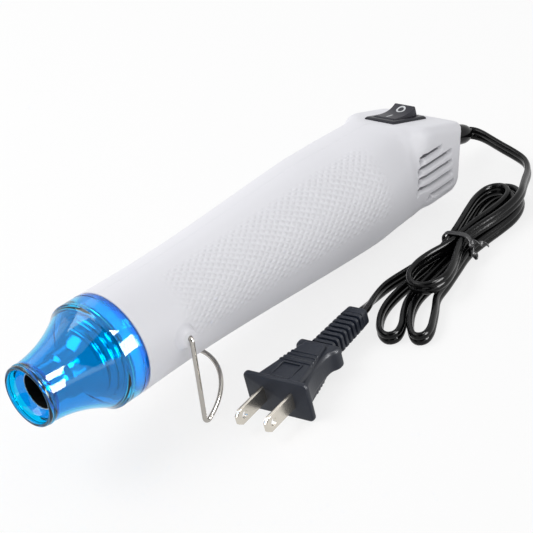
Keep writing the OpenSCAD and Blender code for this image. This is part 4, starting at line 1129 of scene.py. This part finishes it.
# Half width and half height between the ribs and on them
RELIEF_NECK = (3.2, 2.4)
RELIEF_RIB = (5.0, 3.8)
RELIEF_TAPER = 0.1
rib_pitch = (RELIEF_LEN - COLLAR) / RIBS
rib_shape = [(0.0, 0), (0.3, 0), (0.36, 0.9), (0.42, 1), (0.86, 1), (0.92, 0.9), (0.98, 0)]
collar_shape = [(0.1, 0.85), (0.3, 0.95), (COLLAR - 0.4, 0.9), (COLLAR - 0.1, 0.8), (COLLAR, 0.6)]
relief_rows = [(PLUG_LEN - 0.4, 0.0)]
relief_rows += [(PLUG_LEN + (k + at) * rib_pitch, full) for k in range(RIBS) for at, full in rib_shape]
relief_rows += [(PLUG_LEN + RELIEF_LEN - COLLAR + at, full) for at, full in collar_shape]
relief = []
for x, full in relief_rows:
    taper = 1 - RELIEF_TAPER * (x - PLUG_LEN) / RELIEF_LEN
    half = [neck + (rib * taper - neck) * full for neck, rib in zip(RELIEF_NECK, RELIEF_RIB)]
    relief.append((rounded(*half, 1.5, steps=6), x))
plug_relief = loft("plug_ribs", relief, in_plug, sharp=38, material=plug_grey)
dress(plug_relief, "housing", "plug", "plug_relief")

# %% Cut the blades
BLADE_LEN = 16.5
BLADE_HALF = 3.15
BLADE_AT = 6.35
HOLE_AT = -12.5
HOLE_R = 1.5
corners = np.array([(0.5, -BLADE_HALF), (0.5, BLADE_HALF), (2 - BLADE_LEN, BLADE_HALF), (-BLADE_LEN, 1.6),
                    (-BLADE_LEN, -1.6), (2 - BLADE_LEN, -BLADE_HALF)])
part = np.arange(10)[None, :, None] / 10
rim = (corners[:, None] * (1 - part) + np.roll(corners, -1, axis=0)[:, None] * part).reshape(-1, 2)
angle = np.arctan2(rim[:, 1], rim[:, 0] - HOLE_AT)
hole = np.stack([HOLE_AT + HOLE_R * np.cos(angle), HOLE_R * np.sin(angle)], -1)
tighter = rim * [1, 0.95] + [0.12, 0]
rows = [(rim, 0.55), (rim, -0.55), (tighter, -0.75), (hole, -0.75), (hole, 0.75), (tighter, 0.75)]
blade_metal = plain("blade_metal", (0.66, 0.62, 0.55), 0.24, grain=600.0, depth=0.00002, shift=0.06,
                    metallic=1.0)
for side, name in ((-1, "blade_near"), (1, "blade_far")):
    spots = np.concatenate([in_plug(np.full(len(rim), side * BLADE_AT + y), shape[:, 1], shape[:, 0])
                            for shape, y in rows])
    piece = build(name, spots, grid_quads(len(rows), len(rim), close=True), sharp=40, material=blade_metal)
    dress(piece, "housing", "blade")
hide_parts("plug_blades")

# %% Finish the lead and put it in place of the CAD cord
cord_black = Finish("lead_pvc", Specular_IOR_Level=0.17)
cord_cloud = cord_black.noise(90.0, 3.0)
cord_grain = cord_black.noise(700.0, 2.0)
cord_black.bump(cord_grain, 0.00003)
cord_tone = cord_black.blend(cord_cloud, (0.0015, 0.0015, 0.0018), (0.0035, 0.0035, 0.004))
lead.data.materials.append(cord_black.paint(cord_tone, Roughness=cord_cloud * 0.08 + 0.15))
dress(lead, "housing", "cord", "supply_cord", "cord_hank", "hank_loops", "plug_lead")

# %% [markdown]
# ## What is inside
# The heater, the fan, the motor and the small board keep their solids, since their shapes are right. Each
# gets the finish of its real material: split mica with its flakes, dull nickel-chrome wire, black ferrite,
# zinc-plated steel, brass, epoxy board. They show through the mouth and when the tool is opened.

# %% Finish the carried-over pieces
mica = Finish("mica")
flakes = mica.node("ShaderNodeTexVoronoi", {}, {"Vector": mica.object_place(), "Scale": 420.0})
mica.bump(flakes, 0.00008)
mica_tone = mica.blend(mica.noise(120.0, 3.0), (0.52, 0.44, 0.30), (0.72, 0.66, 0.52))
mica_paint = mica.paint(mica_tone, Roughness=flakes * 0.4 + 0.2)
INSIDE = {
    "screw_zinc": ((0.55, 0.56, 0.56), 0.3, 1.0, ["housing_screws"]),
    "coil_wire": ((0.30, 0.27, 0.25), 0.45, 1.0, ["heating_coil"]),
    "fuse_silver": ((0.62, 0.62, 0.60), 0.3, 1.0, ["thermal_fuse"]),
    "shroud_plastic": ((0.03, 0.03, 0.033), 0.5, 0.0, ["fan_shroud", "motor_end_cap"]),
    "impeller_plastic": ((0.62, 0.60, 0.54), 0.5, 0.0, ["fan_impeller"]),
    "motor_steel": ((0.50, 0.50, 0.50), 0.28, 1.0, ["motor_can", "motor_shaft"]),
    "ferrite": ((0.035, 0.034, 0.034), 0.6, 0.0, ["motor_magnets"]),
    "laminations": ((0.32, 0.20, 0.12), 0.4, 1.0, ["motor_armature"]),
    "copper_bars": ((0.72, 0.36, 0.20), 0.3, 1.0, ["motor_commutator"]),
    "brass": ((0.70, 0.50, 0.22), 0.3, 1.0, ["motor_bushes", "switch_terminals"]),
    "epoxy_board": ((0.05, 0.16, 0.06), 0.45, 0.0, ["rectifier_board"]),
    "diode_epoxy": ((0.015, 0.015, 0.016), 0.4, 0.0, ["rectifier_diodes"]),
    "capacitor_foil": ((0.62, 0.36, 0.03), 0.35, 0.0, ["smoothing_capacitor"]),
    "live_black": ((0.015, 0.015, 0.016), 0.4, 0.0, ["live_lead"]),
    "neutral_white": ((0.70, 0.70, 0.68), 0.4, 0.0, ["neutral_lead"]),
    "heater_red": ((0.45, 0.03, 0.02), 0.4, 0.0, ["heater_leads"])}
finishes = {node: mica_paint for node in ("mica_sleeve", "mica_cross", "mica_disc")}
for name, (colour, roughness, metallic, nodes) in INSIDE.items():
    made = plain(name, colour, roughness, metallic=metallic)
    finishes.update({node: made for node in nodes})
for node, material in finishes.items():
    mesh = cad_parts[node].data
    mesh.materials.clear()
    mesh.materials.append(material)
print("inside pieces finished:", len(finishes))

# %% [markdown]
# ## Floor and lamps
# A photographer would stand the tool on a white sweep under big soft boxes, then cut it out. For rays
# that are seen, the floor here is 78 percent white light and the rest diffuse, so that a little of the
# tool's shadow stays. Three lamps light the tool: key, rear and fill. Two window boxes show only in what
# is shiny, and so does a dark card behind the camera, so that black pieces stay dark where they face it.

# %% Floor and world
def seen(finish):
    """1 for rays from the camera, a reflection or through a clear piece, 0 for light that is gathered."""
    camera_ray, glossy, through = finish.node(
        "ShaderNodeLightPath", out=("Is Camera Ray", "Is Glossy Ray", "Is Transmission Ray"))
    return camera_ray.math("MAXIMUM", glossy).math("MAXIMUM", through)


def sheet(name, middle, right, up, half, material):
    """A flat square round its middle, with two unit vectors for its sides."""
    corners = [middle + half * (a * right + b * up) for a, b in ((-1, -1), (1, -1), (1, 1), (-1, 1))]
    return build(name, corners, [(0, 1, 2, 3)], material=material)


WHITE_SHARE = 0.78
WORLD_LEVEL = 0.65
FLOOR_HALF = 3.0
ground = Finish("studio_floor", Base_Color=(0.9, 0.9, 0.9), Roughness=0.9, Specular_IOR_Level=0.0)
diffuse = Number(ground, ground.surface.outputs[0])
white = ground.node("ShaderNodeEmission")
mixed = ground.node("ShaderNodeMixShader", {}, {0: seen(ground) * WHITE_SHARE, 1: diffuse, 2: white})
ground.set(ground.tree.nodes["Material Output"], {"Surface": mixed})
floor = sheet("floor", np.zeros(3), np.array([1, 0, 0]), np.array([0, 1, 0]), FLOOR_HALF, ground.owner)
sky = Finish("studio", world=True, Color=(1, 1, 1))
bpy.context.scene.world = sky.paint(Strength=seen(sky) * (1 - WORLD_LEVEL) + WORLD_LEVEL)


# %% Lamps
def soft_box(name, place, aim, size, power, lights=True):
    """An area lamp at a place, turned to face another. Without lights it only shows in what is shiny."""
    data = bpy.data.lights.new(name, "AREA")
    data.shape = "RECTANGLE"
    data.size, data.size_y = size
    data.energy = power
    lamp = bpy.data.objects.new(name, data)
    lamp.location = place
    lamp.visible_diffuse = lights
    lamp.rotation_euler = (Vector(aim) - Vector(place)).to_track_quat("-Z", "Y").to_euler()
    bpy.context.scene.collection.objects.link(lamp)


TOOL_MIDDLE = (0, 0, 0.03)
NOZZLE_AT = (-0.1, 0, 0.04)
soft_box("key_box", (-0.45, 0.4, 0.85), TOOL_MIDDLE, (0.7, 0.5), 4.6)
soft_box("rear_box", (0.3, 0.8, 0.8), TOOL_MIDDLE, (0.8, 0.5), 1.2)
soft_box("fill_box", (-0.05, -0.95, 0.1), TOOL_MIDDLE, (0.9, 0.2), 0.9)
soft_box("window_low", (0.15, -0.54, 0.14), NOZZLE_AT, (0.27, 0.24), 5.5, lights=False)
soft_box("window_high", (0.1, -0.38, 0.47), NOZZLE_AT, (0.2, 0.18), 3.6, lights=False)
CARD_HALF = 0.45
card_middle = np.array([-0.53, -0.63, 0.50])
card_right = unit(np.cross([0, 0, 1], card_middle))
card_up = unit(np.cross(card_middle, card_right))
card_black = plain("card_black", (0.01, 0.01, 0.01), 0.9, Specular_IOR_Level=0.0)
card = sheet("dark_card", card_middle, card_right, card_up, CARD_HALF, card_black)
for rays in ("camera", "diffuse", "transmission", "shadow"):
    setattr(card, "visible_" + rays, False)
